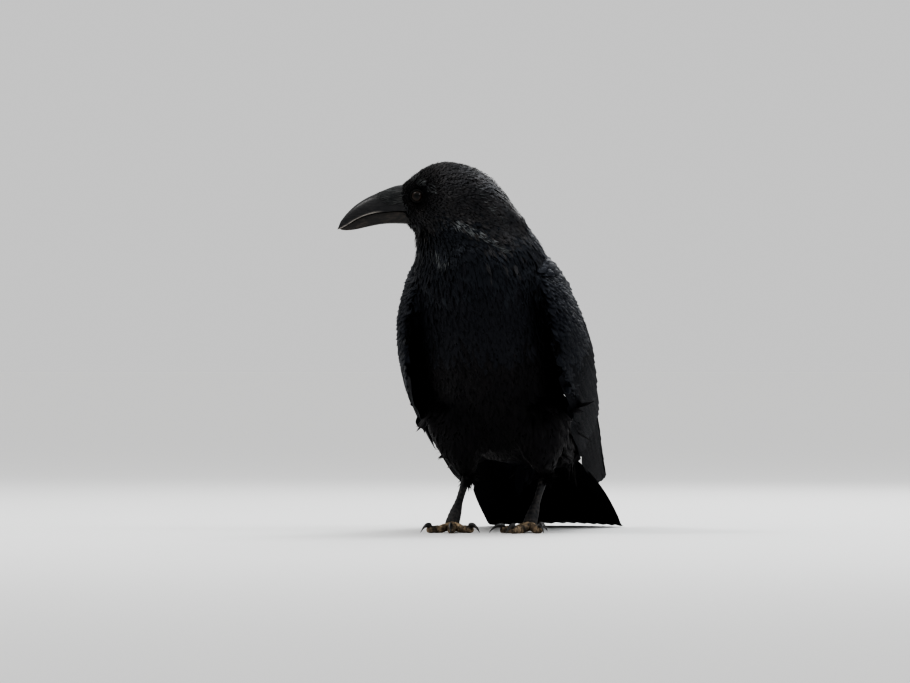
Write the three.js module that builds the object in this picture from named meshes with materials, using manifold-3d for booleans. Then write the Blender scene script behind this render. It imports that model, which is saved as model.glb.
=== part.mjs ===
// Common raven, Corvus corax, life size: standing on two feet with the tail laid behind it and the
// head turned over the right shoulder. Millimetres: +X is the bird's left, +Y its tail end, +Z up.
import * as THREE from "three";
import { mergeVertices } from "three/addons/utils/BufferGeometryUtils.js";
import Module from "manifold-3d";

const wasm = await Module();
wasm.setup();

// ---- Driving dimensions ----
const ROOM = 0.3; // how far a piece's faces are moved out to cut its room in a neighbour
const CUT = 0.3; // width of the cuts that part the body
const DEG = Math.PI / 180;
// Sides of a body's rings.
const SIDES_OF = { flesh: 16, bill: 10, thigh: 8, tarsus: 7, toe: 6, claw: 4, tuft: 6 };
const SIDES = [
  ["left", 1],
  ["right", -1],
];

// The trunk's own line, from the shoulders to where it bends into the tail.
const BODY = { front: [0, -66, 258], length: 222, pitch: 42 * DEG, bend: 0.9, tail_pitch: 27 * DEG };
// Down the trunk: [share of the length, half width, back above the line, belly below it]
const TRUNK = [
  [-0.12, 40, 26, 40],
  [0.0, 62, 42, 56],
  [0.2, 75, 54, 67],
  [0.4, 76, 57, 75],
  [0.6, 72, 52, 77],
  [0.8, 63, 40, 74],
  [0.95, 51, 28, 62],
  [1.1, 40, 16, 42],
  [1.28, 32, 8, 24],
  [1.46, 23, 2.5, 9],
];
// Up the neck: [x, y, z, half width, front depth, back depth]
const NECK = [
  [4, -40, 226, 66, 50, 50],
  [4, -52, 250, 66, 50, 53],
  [0, -64, 275, 59, 47, 48],
  [-7, -71, 298, 50, 41, 40],
  [-18, -75, 320, 38, 33, 33],
];

const HEAD = { at: [-17, -76, 320.5], turn: 80 * DEG };
// Back along the head: [forward, middle height, half width, crown above it, throat below it]
const SKULL = [
  [60, -7, 8, 11, 12],
  [52, -8, 14, 21, 17],
  [42, -8, 19.5, 28.5, 25],
  [30, -5, 26, 34, 36],
  [15, -3, 30.5, 36, 44],
  [0, -4, 33, 36, 48],
  [-15, -6, 34, 33.5, 50],
  [-30, -10, 33, 30, 48],
  [-45, -17, 29, 21, 42],
  [-57, -26, 21, 12, 30],
];
// Along each half of the bill: [forward, ridge height, edge height, half width]
const BILL_UPPER = [
  [44, 11, -15.6, 12.4],
  [57, 9.5, -15.4, 11],
  [67, 6.4, -16.4, 9.8],
  [76, 2.4, -17.1, 8.7],
  [86, -3, -19.5, 7.2],
  [96, -10.2, -23.8, 5.4],
  [104, -18, -28.8, 3.6],
  [110, -25.6, -32, 1.9],
];
const BILL_LOWER = [
  [44, -27, -17.2, 11],
  [57, -26, -15.9, 10],
  [67, -26, -16.9, 8.6],
  [76, -27, -17.6, 7.4],
  [86, -29, -20, 5.8],
  [96, -31.4, -24.3, 4.0],
  [103, -33, -28.4, 2.4],
];
const BILL_TIPS = { upper: [113.4, -33.6], lower: [107, -33] };
const NASAL_TUFT = { from: [50, 5, 9.4], to: [77, -6, 8.6], thick: 2.2, high: 7.5 };
const EYE = { forward: 38, up: -2, side: 16.4, radius: 6.4 };

// Down the folded wing: [share of its length, dorsal edge, lower edge, bulge, depth]
const WING = [
  [0.0, [50, -66, 260], [58, -88, 212], 9, 9],
  [0.12, [50, -36, 268], [74, -66, 170], 19.5, 13],
  [0.28, [36, 22, 252], [81, -20, 134], 32.5, 14],
  [0.45, [22, 84, 211], [76, 40, 100], 38.5, 11],
  [0.62, [14, 142, 166], [70, 102, 75], 38, 8],
  [0.8, [17, 206, 118], [65, 182, 53], 31, 6],
  [1.0, [43, 284, 62], [60, 276, 42], 9, 3],
];
// How wide each wing stands, and how far out its tip is moved.
const WING_POSE = { left: { width: 1.02, flare: 7 }, right: { width: 0.92, flare: 17 } };
const FULLNESS = 2.4; // how square the wing's section is
const COVERTS_END = 0.58;
// Flight feathers begin under the coverts. Notches between tips are shares of the wing's length.
const FLIGHT = { start: 0.56, notch: 0.045, overlap: 0.8, thick: 1.6, places: [0, 0.45, 0.8, 1] };
// How deep a group lies under the wing's face at its roots and its tips, and from the lowest feather
// up [place across at the root, place across at the tip, the tip's share of the wing].
const PRIMARIES = {
  depth: [5, 1.4],
  feathers: [
    [0.86, 0.92, 0.85],
    [0.72, 0.76, 0.92],
    [0.6, 0.5, 0.97],
    [0.48, 0.15, 1.0],
    [0.34, -0.2, 0.97],
    [0.2, -0.5, 0.9],
  ],
};
const SECONDARIES = {
  depth: [1.8, 0.8],
  feathers: [
    [0.16, -0.03, 0.83],
    [-0.06, -0.28, 0.81],
    [-0.26, -0.52, 0.78],
    [-0.44, -0.72, 0.74],
    [-0.6, -0.9, 0.7],
  ],
};

const TAIL = {
  root: [0, 104, 111],
  swing: 7 * DEG, // to the bird's left
  feathers: 12,
  length: 240,
  outer_shorter: 32,
  spread: 47, // how much further out the outermost feather's tip lies than its root
  root_half: 15,
  droop: 8, // of the outer feathers' roots
  laid: 0.05, // share of a feather's length that lies on the floor
  notch: 9, // between two feathers' tips
  overlap: 0.8,
  thick: 1.6,
  places: [0, 0.45, 0.95, 1],
};

// Loose feathers of the flank, behind and outside the thigh: [x, y, z, half width, above, below]
const FLANK = [
  [50, 6, 128, 18, 26, 28],
  [55, 44, 103, 16, 22, 26],
  [57, 80, 82, 11, 13, 18],
  [60, 104, 67, 4, 5, 7],
];
// Each leg, from inside the belly down; a foot's turn is from straight ahead towards +X.
const LEGS = [
  {
    name: "left",
    side: 1,
    flank: 1.04,
    hip: [47, 14, 122],
    heel: [47, 46, 57],
    ankle: [37, 15, 9],
    turn: -14 * DEG,
  },
  {
    name: "right",
    side: -1,
    flank: 0.86,
    hip: [-38, 14, 122],
    heel: [-28, 46, 57],
    ankle: [-38, 15, 9],
    turn: 8 * DEG,
  },
];
// Toes 1 to 4 of the left foot: [turn from the middle toe, length, claw length, half width]
const TOES = {
  1: [180 * DEG, 24, 20, 4.3],
  2: [-38 * DEG, 31, 15, 4.1],
  3: [0, 42, 16, 4.4],
  4: [40 * DEG, 34, 13, 4.0],
};

// ---- Materials ----
const paint = (color, roughness) => new THREE.MeshStandardMaterial({ color, roughness, metalness: 0 });
const PLUMAGE = paint(0x0d0e13, 0.5);
const VANES = paint(0x101116, 0.45);
const HORN = paint(0x15151a, 0.35);
const SCALES = paint(0x191919, 0.6);
const CLAW = paint(0x0c0c0e, 0.3);
const IRIS = paint(0x120a06, 0.08);

// ---- Solids ----
const vec = (a) => new THREE.Vector3(...a);
const mix = (a, b, t) => a + (b - a) * t;
const X = vec([1, 0, 0]);
const Z = vec([0, 0, 1]);

function solidOf(geometry) {
  const merged = mergeVertices(geometry, 1e-4);
  return new wasm.Manifold(
    new wasm.Mesh({
      numProp: 3,
      vertProperties: new Float32Array(merged.attributes.position.array),
      triVerts: new Uint32Array(merged.index.array),
    }),
  );
}

// The same shape with every face moved out by about ROOM.
function roomOf(geometry) {
  const merged = mergeVertices(geometry, 1e-4);
  const { position } = merged.attributes;
  const corners = Array.from({ length: position.count }, () => []);
  const point = (i) => new THREE.Vector3().fromBufferAttribute(position, i);
  for (let f = 0; f < merged.index.count; f += 3) {
    const face = [0, 1, 2].map((k) => merged.index.getX(f + k));
    const normal = new THREE.Triangle(...face.map(point)).getNormal(new THREE.Vector3());
    face.forEach((i) => corners[i].push(normal));
  }
  corners.forEach((normals, i) => {
    const out = normals.reduce((sum, n) => sum.add(n), new THREE.Vector3()).normalize();
    const flattest = Math.max(0.35, Math.min(...normals.map((n) => n.dot(out))));
    position.setXYZ(i, ...point(i).addScaledVector(out, ROOM / flattest).toArray());
  });
  return solidOf(merged);
}

function geometryOf(solid) {
  const { vertProperties, triVerts } = solid.getMesh();
  const geometry = new THREE.BufferGeometry();
  geometry.setAttribute("position", new THREE.BufferAttribute(vertProperties, 3));
  geometry.setIndex(new THREE.BufferAttribute(triVerts, 1));
  geometry.computeVertexNormals();
  return geometry;
}

const joined = (solids) => solids.reduce((all, one) => all.add(one));

const largest = (solid) =>
  solid.decompose().reduce((best, one) => (one.volume() > best.volume() ? one : best));

// The closed surface through rings of equal length, flat at both ends.
function loft(rings) {
  const size = rings[0].length;
  const faces = [];
  for (let r = 0; r + 1 < rings.length; r++)
    for (let i = 0; i < size; i++) {
      const [a, b] = [r * size + i, r * size + ((i + 1) % size)];
      faces.push(a, b, b + size, a, b + size, a + size);
    }
  for (const [r, order] of [
    [0, (a, b, c) => [a, c, b]],
    [rings.length - 1, (a, b, c) => [a, b, c]],
  ])
    for (let i = 0, j = size - 1; j - i > 1; ) {
      const next = i < size - 1 - j ? j - 1 : i + 1;
      faces.push(...order(r * size + i, r * size + next, r * size + j));
      if (next === j - 1) j--;
      else i++;
    }
  const geometry = new THREE.BufferGeometry().setFromPoints(rings.flat());
  geometry.setIndex(faces);
  if (solidOf(geometry).volume() < 0) geometry.setIndex(faces.reverse());
  return geometry;
}

// Rows of numbers as one smooth function of t, from 0 at the first row to 1 at the last.
function through(rows) {
  const last = rows.length - 1;
  const row = (k) => rows[Math.min(Math.max(k, 0), last)];
  return (t) => {
    const at = Math.min(Math.max(t, 0), 1) * last;
    const i = Math.min(Math.floor(at), last - 1);
    const f = at - i;
    return rows[0].map((_, c) => {
      const [before, from, to, after] = [-1, 0, 1, 2].map((k) => row(i + k)[c]);
      const [leaving, arriving] = [(to - before) / 2, (after - from) / 2];
      const bend = 2 * (from - to) + leaving + arriving;
      return ((bend * f + 3 * (to - from) - 2 * leaving - arriving) * f + leaving) * f + from;
    });
  };
}

// A ring round a centre: half a width to each side, one depth above and another below.
function ring(centre, side, up, half, above, below, count) {
  const points = [];
  for (let i = 0; i < count; i++) {
    const angle = (i / count) * 2 * Math.PI;
    const lift = Math.sin(angle) * (Math.sin(angle) > 0 ? above : below);
    points.push(centre.clone().addScaledVector(side, Math.cos(angle) * half).addScaledVector(up, lift));
  }
  return points;
}

// A body with rings square to its own path. Rows are [x, y, z, half width, above, below].
function limb(rows, side, steps, count, blunt) {
  const at = through(rows);
  const place = (t) => vec(at(t).slice(0, 3));
  const rings = [];
  for (let i = 0; i <= steps; i++) {
    const t = i / steps;
    const tangent = place(Math.min(t + 0.01, 1)).sub(place(Math.max(t - 0.01, 0))).normalize();
    const across = side.clone().addScaledVector(tangent, -side.dot(tangent)).normalize();
    const up = new THREE.Vector3().crossVectors(across, tangent).normalize();
    if (up.z < -0.2) up.negate();
    const [half, above, below] = at(t).slice(3);
    const end = (along) => {
      const centre = place(t).addScaledVector(tangent, (along * blunt * (above + below)) / 2);
      rings.push(ring(centre, across, up, half * 0.6, above * 0.6, below * 0.6, count));
    };
    if (i === 0) end(-1);
    rings.push(ring(place(t), across, up, half, above, below, count));
    if (i === steps) end(1);
  }
  return loft(rings);
}

const blend = (a, b, t) => a.map((value, k) => mix(value, b[k], t));

// The columns across a fan of feathers, each given as a row of numbers that ends with its length:
// the edge that lies over the feather before it, the shaft, and the edge under the next feather.
function fanColumns(feathers, { notch, overlap }) {
  const last = feathers.length - 1;
  const halfway = 0.47; // just short of the next feather, which leaves a groove
  const edge = (feather, next, other) =>
    next ? blend(feather, next, halfway) : blend(feather, other, -halfway);
  return feathers.flatMap((feather, i) => {
    const before = edge(feather, feathers[i - 1], feathers[1]);
    const after = edge(feather, feathers[i + 1], feathers[last - 1]);
    const shorter = (row) => [...row.slice(0, -1), Math.min(...[row, feather].map((r) => r.at(-1))) - notch];
    return [
      { row: shorter(before), lift: overlap / 2 },
      { row: feather, lift: overlap / 4 },
      { row: shorter(after), lift: -overlap / 2 },
    ];
  });
}

// A blade of feathers: each column is a line from root to tip and back along the underside.
function blade(columns, places, thick, point) {
  const rings = columns.map(({ row, lift }) => [
    ...places.map((t) => point(row, t, lift)),
    ...places.toReversed().map((t) => point(row, t, lift - thick)),
  ]);
  return loft(rings);
}

// Everything behind a plane, seen from the side that its normal points to.
function behind(point, normal) {
  const box = new THREE.BoxGeometry(1200, 1200, 1200);
  box.deleteAttribute("normal");
  box.deleteAttribute("uv");
  box.translate(0, 0, -600);
  box.applyQuaternion(new THREE.Quaternion().setFromUnitVectors(Z, normal.clone().normalize()));
  return solidOf(box.translate(point.x, point.y, point.z));
}

// ---- Trunk, neck and head ----
function bodyLine(share) {
  const step = (pitch, part) =>
    vec([0, Math.cos(pitch), -Math.sin(pitch)]).multiplyScalar(part * BODY.length);
  return vec(BODY.front)
    .add(step(BODY.pitch, Math.min(share, BODY.bend)))
    .add(step(BODY.tail_pitch, Math.max(share - BODY.bend, 0)));
}

function trunkShape() {
  const rows = TRUNK.map(([share, ...depths]) => [...bodyLine(share).toArray(), ...depths]);
  return limb(rows, X, 10, SIDES_OF.flesh, 0.4);
}

function neckShape() {
  const at = through(NECK);
  const back = vec([0, 1, 0.35]).normalize();
  const rings = [];
  for (const t of [0, 0.25, 0.5, 0.75, 1]) {
    const [x, y, z, half, front, rear] = at(t);
    rings.push(ring(vec([x, y, z]), X, back, half, rear, front, SIDES_OF.flesh));
  }
  return loft(rings);
}

// The head's own frame: forward to the bill, its left side, and up.
const forward = vec([-Math.sin(HEAD.turn), -Math.cos(HEAD.turn), 0]);
const headLeft = new THREE.Vector3().crossVectors(Z, forward);
const inHead = (ahead, left, up) =>
  vec(HEAD.at).addScaledVector(forward, ahead).addScaledVector(headLeft, left).addScaledVector(Z, up);

function headShape() {
  const at = through(SKULL);
  const rings = [];
  const steps = 10;
  for (let i = 0; i <= steps; i++) {
    const [ahead, up, half, crown, throat] = at(i / steps);
    rings.push(ring(inHead(ahead, 0, up), headLeft, Z, half, crown, throat, SIDES_OF.flesh));
  }
  const [ahead, up, half, crown, throat] = at(1);
  const nape = inHead(ahead - 8, 0, up - 2);
  rings.push(ring(nape, headLeft, Z, half * 0.55, crown * 0.5, throat * 0.6, SIDES_OF.flesh));
  return loft(rings);
}

// One half of the bill: a round ridge over a nearly flat edge.
function billShape(rows, tip) {
  const at = through(rows);
  const upper = rows === BILL_UPPER;
  const rings = [];
  const steps = 8;
  for (let i = 0; i <= steps; i++) {
    const [ahead, ridge, edge, half] = at(i / steps);
    const lip = 1;
    const depth = Math.abs(ridge - edge) - lip;
    const centre = inHead(ahead, 0, upper ? edge + lip : edge - lip);
    rings.push(ring(centre, headLeft, Z, half, upper ? depth : lip, upper ? lip : depth, SIDES_OF.bill));
  }
  rings.push(ring(inHead(tip[0], 0, tip[1]), headLeft, Z, 0.7, 0.7, 0.5, SIDES_OF.bill));
  return loft(rings);
}

// Bristles that lie forward over the nostril.
function nasalTuft(left) {
  const rows = [0, 0.35, 0.7, 1].map((share) => {
    const [ahead, up, out] = NASAL_TUFT.from.map((from, k) => mix(from, NASAL_TUFT.to[k], share));
    const size = Math.sqrt(1 - 0.96 * share * share);
    const { high, thick } = NASAL_TUFT;
    return [...inHead(ahead, left * out, up).toArray(), high * size, thick * size, 3 * size];
  });
  return limb(rows, Z, 3, SIDES_OF.tuft, 0.2);
}

function eyeShape(left) {
  const ball = new THREE.SphereGeometry(EYE.radius, 10, 6);
  ball.deleteAttribute("normal");
  ball.deleteAttribute("uv");
  return ball.translate(...inHead(EYE.forward, left * EYE.side, EYE.up).toArray());
}

// ---- Wings ----
const wingAt = through(WING.map(([, top, low, bulge, depth]) => [...top, ...low, bulge, depth]));

// A share of the wing's length as the smooth function's own t.
function wingT(share) {
  const next = Math.max(1, WING.findIndex(([at]) => at >= share));
  const step = (share - WING[next - 1][0]) / (WING[next][0] - WING[next - 1][0]);
  return (next - 1 + step) / (WING.length - 1);
}

// A point of the folded wing's face: across is -1 at the dorsal edge and 1 at the lower one.
function wingFace(side, share, across, lift) {
  const edges = (t) => [wingAt(t).slice(0, 3), wingAt(t).slice(3, 6)].map(vec);
  const t = wingT(share);
  const [top, low] = edges(t);
  const [ahead, astern] = [edges(t - 0.02), edges(t + 0.02)].map(([a, b]) => a.add(b));
  const out = new THREE.Vector3().crossVectors(low.clone().sub(top), astern.sub(ahead)).normalize();
  if (out.x < 0) out.negate();
  const bulge = wingAt(t)[6] * (1 - Math.abs(across) ** FULLNESS);
  const point = top.lerp(low, (across + 1) / 2).addScaledVector(out, bulge + lift);
  const { width, flare } = WING_POSE[side > 0 ? "left" : "right"];
  point.x = side * (point.x * width + flare * share ** 3);
  return point;
}

// The coverts over the arm and hand: a shield from the shoulder, thinner towards its edges.
function wingShield(side) {
  const [steps, count] = [10, 6];
  const places = Array.from({ length: count + 1 }, (_, k) => mix(-1, 1, k / count));
  const rings = Array.from({ length: steps + 1 }, (_, i) => {
    const [growing, waning] = [i / steps, 1 - i / steps];
    const share = COVERTS_END * growing;
    const reach = Math.min(1, 0.6 + 2.2 * growing) * Math.min(1, 0.75 + 1.4 * waning);
    const ends = Math.min(1, 0.35 + 5 * growing) * Math.min(1, 0.15 + 1.4 * waning);
    const depth = wingAt(wingT(share))[7] * ends;
    const face = places.map((place) => wingFace(side, share, place * reach, 0));
    const under = (place) => -depth * (1 - 0.65 * place * place);
    const back = places.map((place) => wingFace(side, share, place * reach, under(place)));
    return [...face, ...back.toReversed()];
  });
  return loft(rings);
}

// A group of flight feathers, which start under the coverts and lie in the wing's face.
function flightFeathers(side, { depth, feathers }) {
  const columns = fanColumns(feathers, FLIGHT);
  return blade(columns, FLIGHT.places, FLIGHT.thick, ([root, end, share], t, lift) => {
    const deep = mix(...depth, t ** 3);
    return wingFace(side, mix(FLIGHT.start, share, t), mix(root, end, t), lift - deep);
  });
}

// ---- Tail ----
// A point of the tail: outward is -1 at the outermost right feather and 1 at the outermost left one.
function tailPoint([outward, length], t, lift) {
  const height = TAIL.root[2] - TAIL.droop * outward * outward;
  const reach = Math.sqrt(length * length - height * height);
  const sideways = outward * (TAIL.root_half + TAIL.spread * (1 - (1 - t) ** 3));
  const level = TAIL.thick + TAIL.overlap * 0.2 + height * Math.max(0, 1 - t / (1 - TAIL.laid));
  const point = vec([sideways, t * reach, level + lift]).applyAxisAngle(Z, -TAIL.swing);
  return point.add(vec([TAIL.root[0], TAIL.root[1], 0]));
}

// The two sides of the tail meet on the middle feathers, which lie over all the others.
function tailShape() {
  const half = TAIL.feathers / 2;
  const feathers = Array.from({ length: half }, (_, i) => {
    const outward = (half - 0.5 - i) / (half - 0.5);
    return [outward, TAIL.length - TAIL.outer_shorter * outward ** 1.7];
  });
  const left = fanColumns(feathers, TAIL);
  const right = left.map(({ row: [outward, length], lift }) => ({ row: [-outward, length], lift }));
  return blade([...left.toReversed(), ...right].toReversed(), TAIL.places, TAIL.thick, tailPoint);
}

// ---- Legs ----
function thighShape(leg) {
  const bend = vec([leg.heel[0], leg.hip[1], 84]);
  const line = new THREE.QuadraticBezierCurve3(vec(leg.hip), bend, vec(leg.heel));
  const sizes = [
    [0, 31, 34],
    [0.35, 29, 32],
    [0.62, 22, 24],
    [0.85, 13.5, 14],
    [1, 9, 9.5],
  ];
  const rows = sizes.map(([t, half, deep]) => [...line.getPoint(t).toArray(), half, deep, deep]);
  return limb(rows, X, 5, SIDES_OF.thigh, 0.3);
}

function flankShape(leg) {
  const rows = FLANK.map(([x, ...rest]) => [leg.side * leg.flank * x, ...rest]);
  return limb(rows, X, 4, SIDES_OF.thigh, 0.3);
}

function tarsusShape(leg) {
  const at = (t) => vec(leg.heel).lerp(vec(leg.ankle), t).toArray();
  const rows = [
    [...at(-0.02), 5.6, 6.6, 6.6],
    [...at(0.16), 4.0, 5.2, 5.2],
    [...at(0.45), 3.4, 4.4, 4.4],
    [...at(0.75), 3.7, 4.5, 4.5],
    [...at(0.93), 6.0, 5.4, 5.4],
    [...at(1.0), 7.0, 5.2, 6],
  ];
  return limb(rows, X, 5, SIDES_OF.tarsus, 0.6);
}

// A toe's way over the floor from the ankle, and the side it is measured across.
function toeFrame(leg, toe) {
  const turn = leg.turn + leg.side * TOES[toe][0];
  const way = vec([Math.sin(turn), -Math.cos(turn), 0]);
  return { base: vec(leg.ankle).setZ(0), way, side: new THREE.Vector3().crossVectors(Z, way) };
}

function toeShape(leg, toe) {
  const [, length, , half] = TOES[toe];
  const { base, way, side } = toeFrame(leg, toe);
  const pads = [1.04, 0.92, 1.02, 0.9, 0.74];
  const rows = pads.map((pad, k) => {
    const t = k / (pads.length - 1);
    const high = mix(7, 3.2, Math.min(1, 2.2 * t));
    const centre = base.clone().addScaledVector(way, mix(3, length, t)).setZ(high);
    return [...centre.toArray(), half * pad, half * pad, half * pad];
  });
  return limb(rows, side, 4, SIDES_OF.toe, 0.6);
}

function clawShape(leg, toe) {
  const [, length, claw, half] = TOES[toe];
  const { base, way, side } = toeFrame(leg, toe);
  const rows = [0, 0.25, 0.5, 0.75, 1].map((t) => {
    const size = half * 0.8 * (1 - t) ** 0.75 + 0.42;
    const high = 4.2 + 2.6 * Math.sin(Math.PI * Math.min(1, t * 0.86)) - 4.9 * t * t + size / 2;
    const centre = base.clone().addScaledVector(way, length - 2 + claw * t).setZ(high);
    return [...centre.toArray(), size * 0.62, size, size * 0.8];
  });
  return limb(rows, side, 3, SIDES_OF.claw, 0.2);
}

// ---- The model ----
const raven = new THREE.Group();
const bird = new THREE.Group();
raven.add(bird);
const floor = behind(vec([0, 0, 0]), vec([0, 0, -1])).intersect(behind(vec([0, 0, 1000]), Z));
const taken = [];

// Adds a piece made of closed shapes, clear of all that was added before it.
function add(name, shapes, material, within = floor) {
  let solid = joined(shapes.map(solidOf)).intersect(within);
  for (const room of taken) solid = solid.subtract(room);
  const mesh = new THREE.Mesh(geometryOf(largest(solid)), material);
  mesh.name = name;
  bird.add(mesh);
}
const keepClearOf = (shapes) => taken.push(joined(shapes.map(roomOf)));

function addClear(name, shapes, material) {
  add(name, shapes, material);
  keepClearOf(shapes);
}

for (const [name, side] of SIDES) addClear(`eye_${name}`, [eyeShape(side)], IRIS);
for (const [name, side] of SIDES) {
  addClear(`wing_${name}`, [wingShield(side)], PLUMAGE);
  addClear(`secondaries_${name}`, [flightFeathers(side, SECONDARIES)], VANES);
  addClear(`primaries_${name}`, [flightFeathers(side, PRIMARIES)], VANES);
}

const flesh = [trunkShape(), neckShape(), headShape()];
const throat = { at: inHead(47, 0, -29), normal: Z.clone().addScaledVector(forward, 0.1) };
const collar = { at: vec([0, -60, 252]), normal: vec([0, -0.42, 1]) };
const under = ({ at, normal }, gap) =>
  behind(at.clone().addScaledVector(normal.clone().normalize(), gap), normal);
add("head", flesh, PLUMAGE, floor.subtract(under(throat, CUT)));
add("neck", flesh, PLUMAGE, under(throat, 0).subtract(under(collar, CUT)));
add("trunk", flesh, PLUMAGE, under(collar, 0));
keepClearOf(flesh);

addClear("bill_upper", [billShape(BILL_UPPER, BILL_TIPS.upper)], HORN);
addClear("bill_lower", [billShape(BILL_LOWER, BILL_TIPS.lower)], HORN);
for (const [name, side] of SIDES) addClear(`nasal_tuft_${name}`, [nasalTuft(side)], PLUMAGE);
addClear("tail", [tailShape()], VANES);

for (const leg of LEGS) {
  addClear(`thigh_${leg.name}`, [thighShape(leg), flankShape(leg)], PLUMAGE);
  addClear(`tarsus_${leg.name}`, [tarsusShape(leg)], SCALES);
  for (const toe of [3, 1, 2, 4]) {
    addClear(`toe_${leg.name}_${toe}`, [toeShape(leg, toe)], SCALES);
    addClear(`claw_${leg.name}_${toe}`, [clawShape(leg, toe)], CLAW);
  }
}

// The origin is on the floor, under the middle of the bird's own box.
const box = new THREE.Box3().setFromObject(bird);
const middle = box.getCenter(new THREE.Vector3());
bird.position.set(-middle.x, -middle.y, -box.min.z);

export default raven;
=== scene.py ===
import math

import bpy
import numpy as np
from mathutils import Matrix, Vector
from mathutils.bvhtree import BVHTree
from mathutils.kdtree import KDTree


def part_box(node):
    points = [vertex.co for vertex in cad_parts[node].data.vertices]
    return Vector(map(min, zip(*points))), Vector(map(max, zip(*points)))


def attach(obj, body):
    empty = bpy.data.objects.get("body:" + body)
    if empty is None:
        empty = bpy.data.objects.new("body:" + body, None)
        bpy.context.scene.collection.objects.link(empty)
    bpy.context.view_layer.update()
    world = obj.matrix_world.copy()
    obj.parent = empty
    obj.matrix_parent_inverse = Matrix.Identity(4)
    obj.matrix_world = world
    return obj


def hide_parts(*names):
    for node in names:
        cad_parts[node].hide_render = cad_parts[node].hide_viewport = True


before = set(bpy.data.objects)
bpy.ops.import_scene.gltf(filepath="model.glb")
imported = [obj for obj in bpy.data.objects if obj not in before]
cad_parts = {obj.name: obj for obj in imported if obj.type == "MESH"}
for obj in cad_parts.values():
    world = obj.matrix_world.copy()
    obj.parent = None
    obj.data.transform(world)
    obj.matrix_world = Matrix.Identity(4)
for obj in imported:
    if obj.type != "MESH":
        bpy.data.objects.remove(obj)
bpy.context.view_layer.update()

# Lengths are millimetres in the bird's own measures, turned into metres when a mesh is made.
# X is the bird's left, Y its tail end and Z up. BIRD is where the bird's own origin lies in the frame.
MM = 0.001
rng = np.random.default_rng(11)
X, Y, Z = np.eye(3)
SIDES = (("left", 1), ("right", -1))


def unit(v):
    v = np.asarray(v, float)
    return v / np.maximum(np.linalg.norm(v, axis=-1, keepdims=True), 1e-9)


def mix(a, b, t):
    return a + (b - a) * t


def smooth_step(low, high, x):
    t = np.clip((np.asarray(x, float) - low) / (high - low), 0, 1)
    return t * t * (3 - 2 * t)


def between(values, limits):
    return (values > limits[0]) & (values < limits[1])


def full_turn(count):
    return np.linspace(0, 2 * math.pi, count, endpoint=False)


def placed(name, data):
    """A new object in the scene."""
    obj = bpy.data.objects.new(name, data)
    bpy.context.scene.collection.objects.link(obj)
    return obj


def point_along(obj, place, direction):
    """Puts a camera or a light at a place and turns it along a direction."""
    obj.location = Vector(place)
    obj.rotation_mode = "QUATERNION"
    obj.rotation_quaternion = Vector(direction).to_track_quat("-Z", "Y")


# ---- The bird's measures ----
HEAD_AT = np.array([-17.0, -76.0, 320.5])
HEAD_TURN = math.radians(80)
FORWARD = np.array([-math.sin(HEAD_TURN), -math.cos(HEAD_TURN), 0.0])
HEAD_LEFT = np.cross(Z, FORWARD)
EYE = {"forward": 38, "up": -2, "side": 16.4, "radius": 6.4}


def eye_place(left):
    return HEAD_AT + EYE["forward"] * FORWARD + left * EYE["side"] * HEAD_LEFT + EYE["up"] * Z


low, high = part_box("eye_left")
BIRD = np.array((low + high) / 2) / MM - eye_place(1)
HEAD_AT = HEAD_AT + BIRD


def in_head(ahead, left, up):
    shape = np.broadcast(ahead, left, up).shape
    ahead, left, up = (np.broadcast_to(v, shape)[..., None] for v in (ahead, left, up))
    return HEAD_AT + ahead * FORWARD + left * HEAD_LEFT + up * Z


# ---- Camera ----
PIXEL = 0.95  # mm of the bird for each pixel of the picture
PICTURE_WIDTH = 910
PICTURE_CENTRE = (455, 341.5)
ORIGIN_PIXEL = (489, 533)  # the bird's own origin in the picture
SENSOR_WIDTH = 36
AZIMUTH = math.radians(10)
DISTANCE = 7.5
RIGHT = np.array([math.cos(AZIMUTH), math.sin(AZIMUTH), 0.0])
TOWARDS = np.array([-math.sin(AZIMUTH), math.cos(AZIMUTH), 0.0])
aim_right, aim_up = PICTURE_CENTRE[0] - ORIGIN_PIXEL[0], ORIGIN_PIXEL[1] - PICTURE_CENTRE[1]
AIM = (BIRD + RIGHT * aim_right * PIXEL + Z * aim_up * PIXEL) * MM
camera = placed("camera", bpy.data.cameras.new("camera"))
bpy.context.scene.camera = camera
camera.data.sensor_width = SENSOR_WIDTH
camera.data.lens = SENSOR_WIDTH * DISTANCE / (PICTURE_WIDTH * PIXEL * MM)
camera.data.clip_end = 100
point_along(camera, AIM - TOWARDS * DISTANCE, TOWARDS)


# ---- Meshes ----
def mesh_object(name, points, quads, material, smooth=True):
    """A mesh from points in mm and faces of four corners each; a repeated corner makes a triangle."""
    mesh = bpy.data.meshes.new(name)
    quads = np.asarray(quads, int)
    triangle = quads[:, 3] == quads[:, 2]
    sizes = np.where(triangle, 3, 4)
    corners = quads[np.arange(4)[None, :] < sizes[:, None]]
    mesh.vertices.add(len(points))
    mesh.vertices.foreach_set("co", (np.asarray(points, float) * MM).ravel())
    mesh.loops.add(len(corners))
    mesh.loops.foreach_set("vertex_index", corners)
    mesh.polygons.add(len(quads))
    mesh.polygons.foreach_set("loop_start", np.concatenate([[0], np.cumsum(sizes)[:-1]]))
    mesh.polygons.foreach_set("loop_total", sizes)
    mesh.update(calc_edges=True)
    mesh.validate()
    if smooth:
        mesh.shade_smooth()
    mesh.materials.append(material)
    return placed(name, mesh)


def values_of(items, key, size, kind=float):
    """What a mesh's items hold under one name, as rows of some size."""
    values = np.empty(len(items) * size, kind)
    items.foreach_get(key, values)
    return values.reshape(-1, size)


def mesh_of(obj):
    """An object's points in mm and its triangles."""
    obj.data.calc_loop_triangles()
    return values_of(obj.data.vertices, "co", 3) / MM, values_of(obj.data.loop_triangles, "vertices", 3, int)


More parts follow.
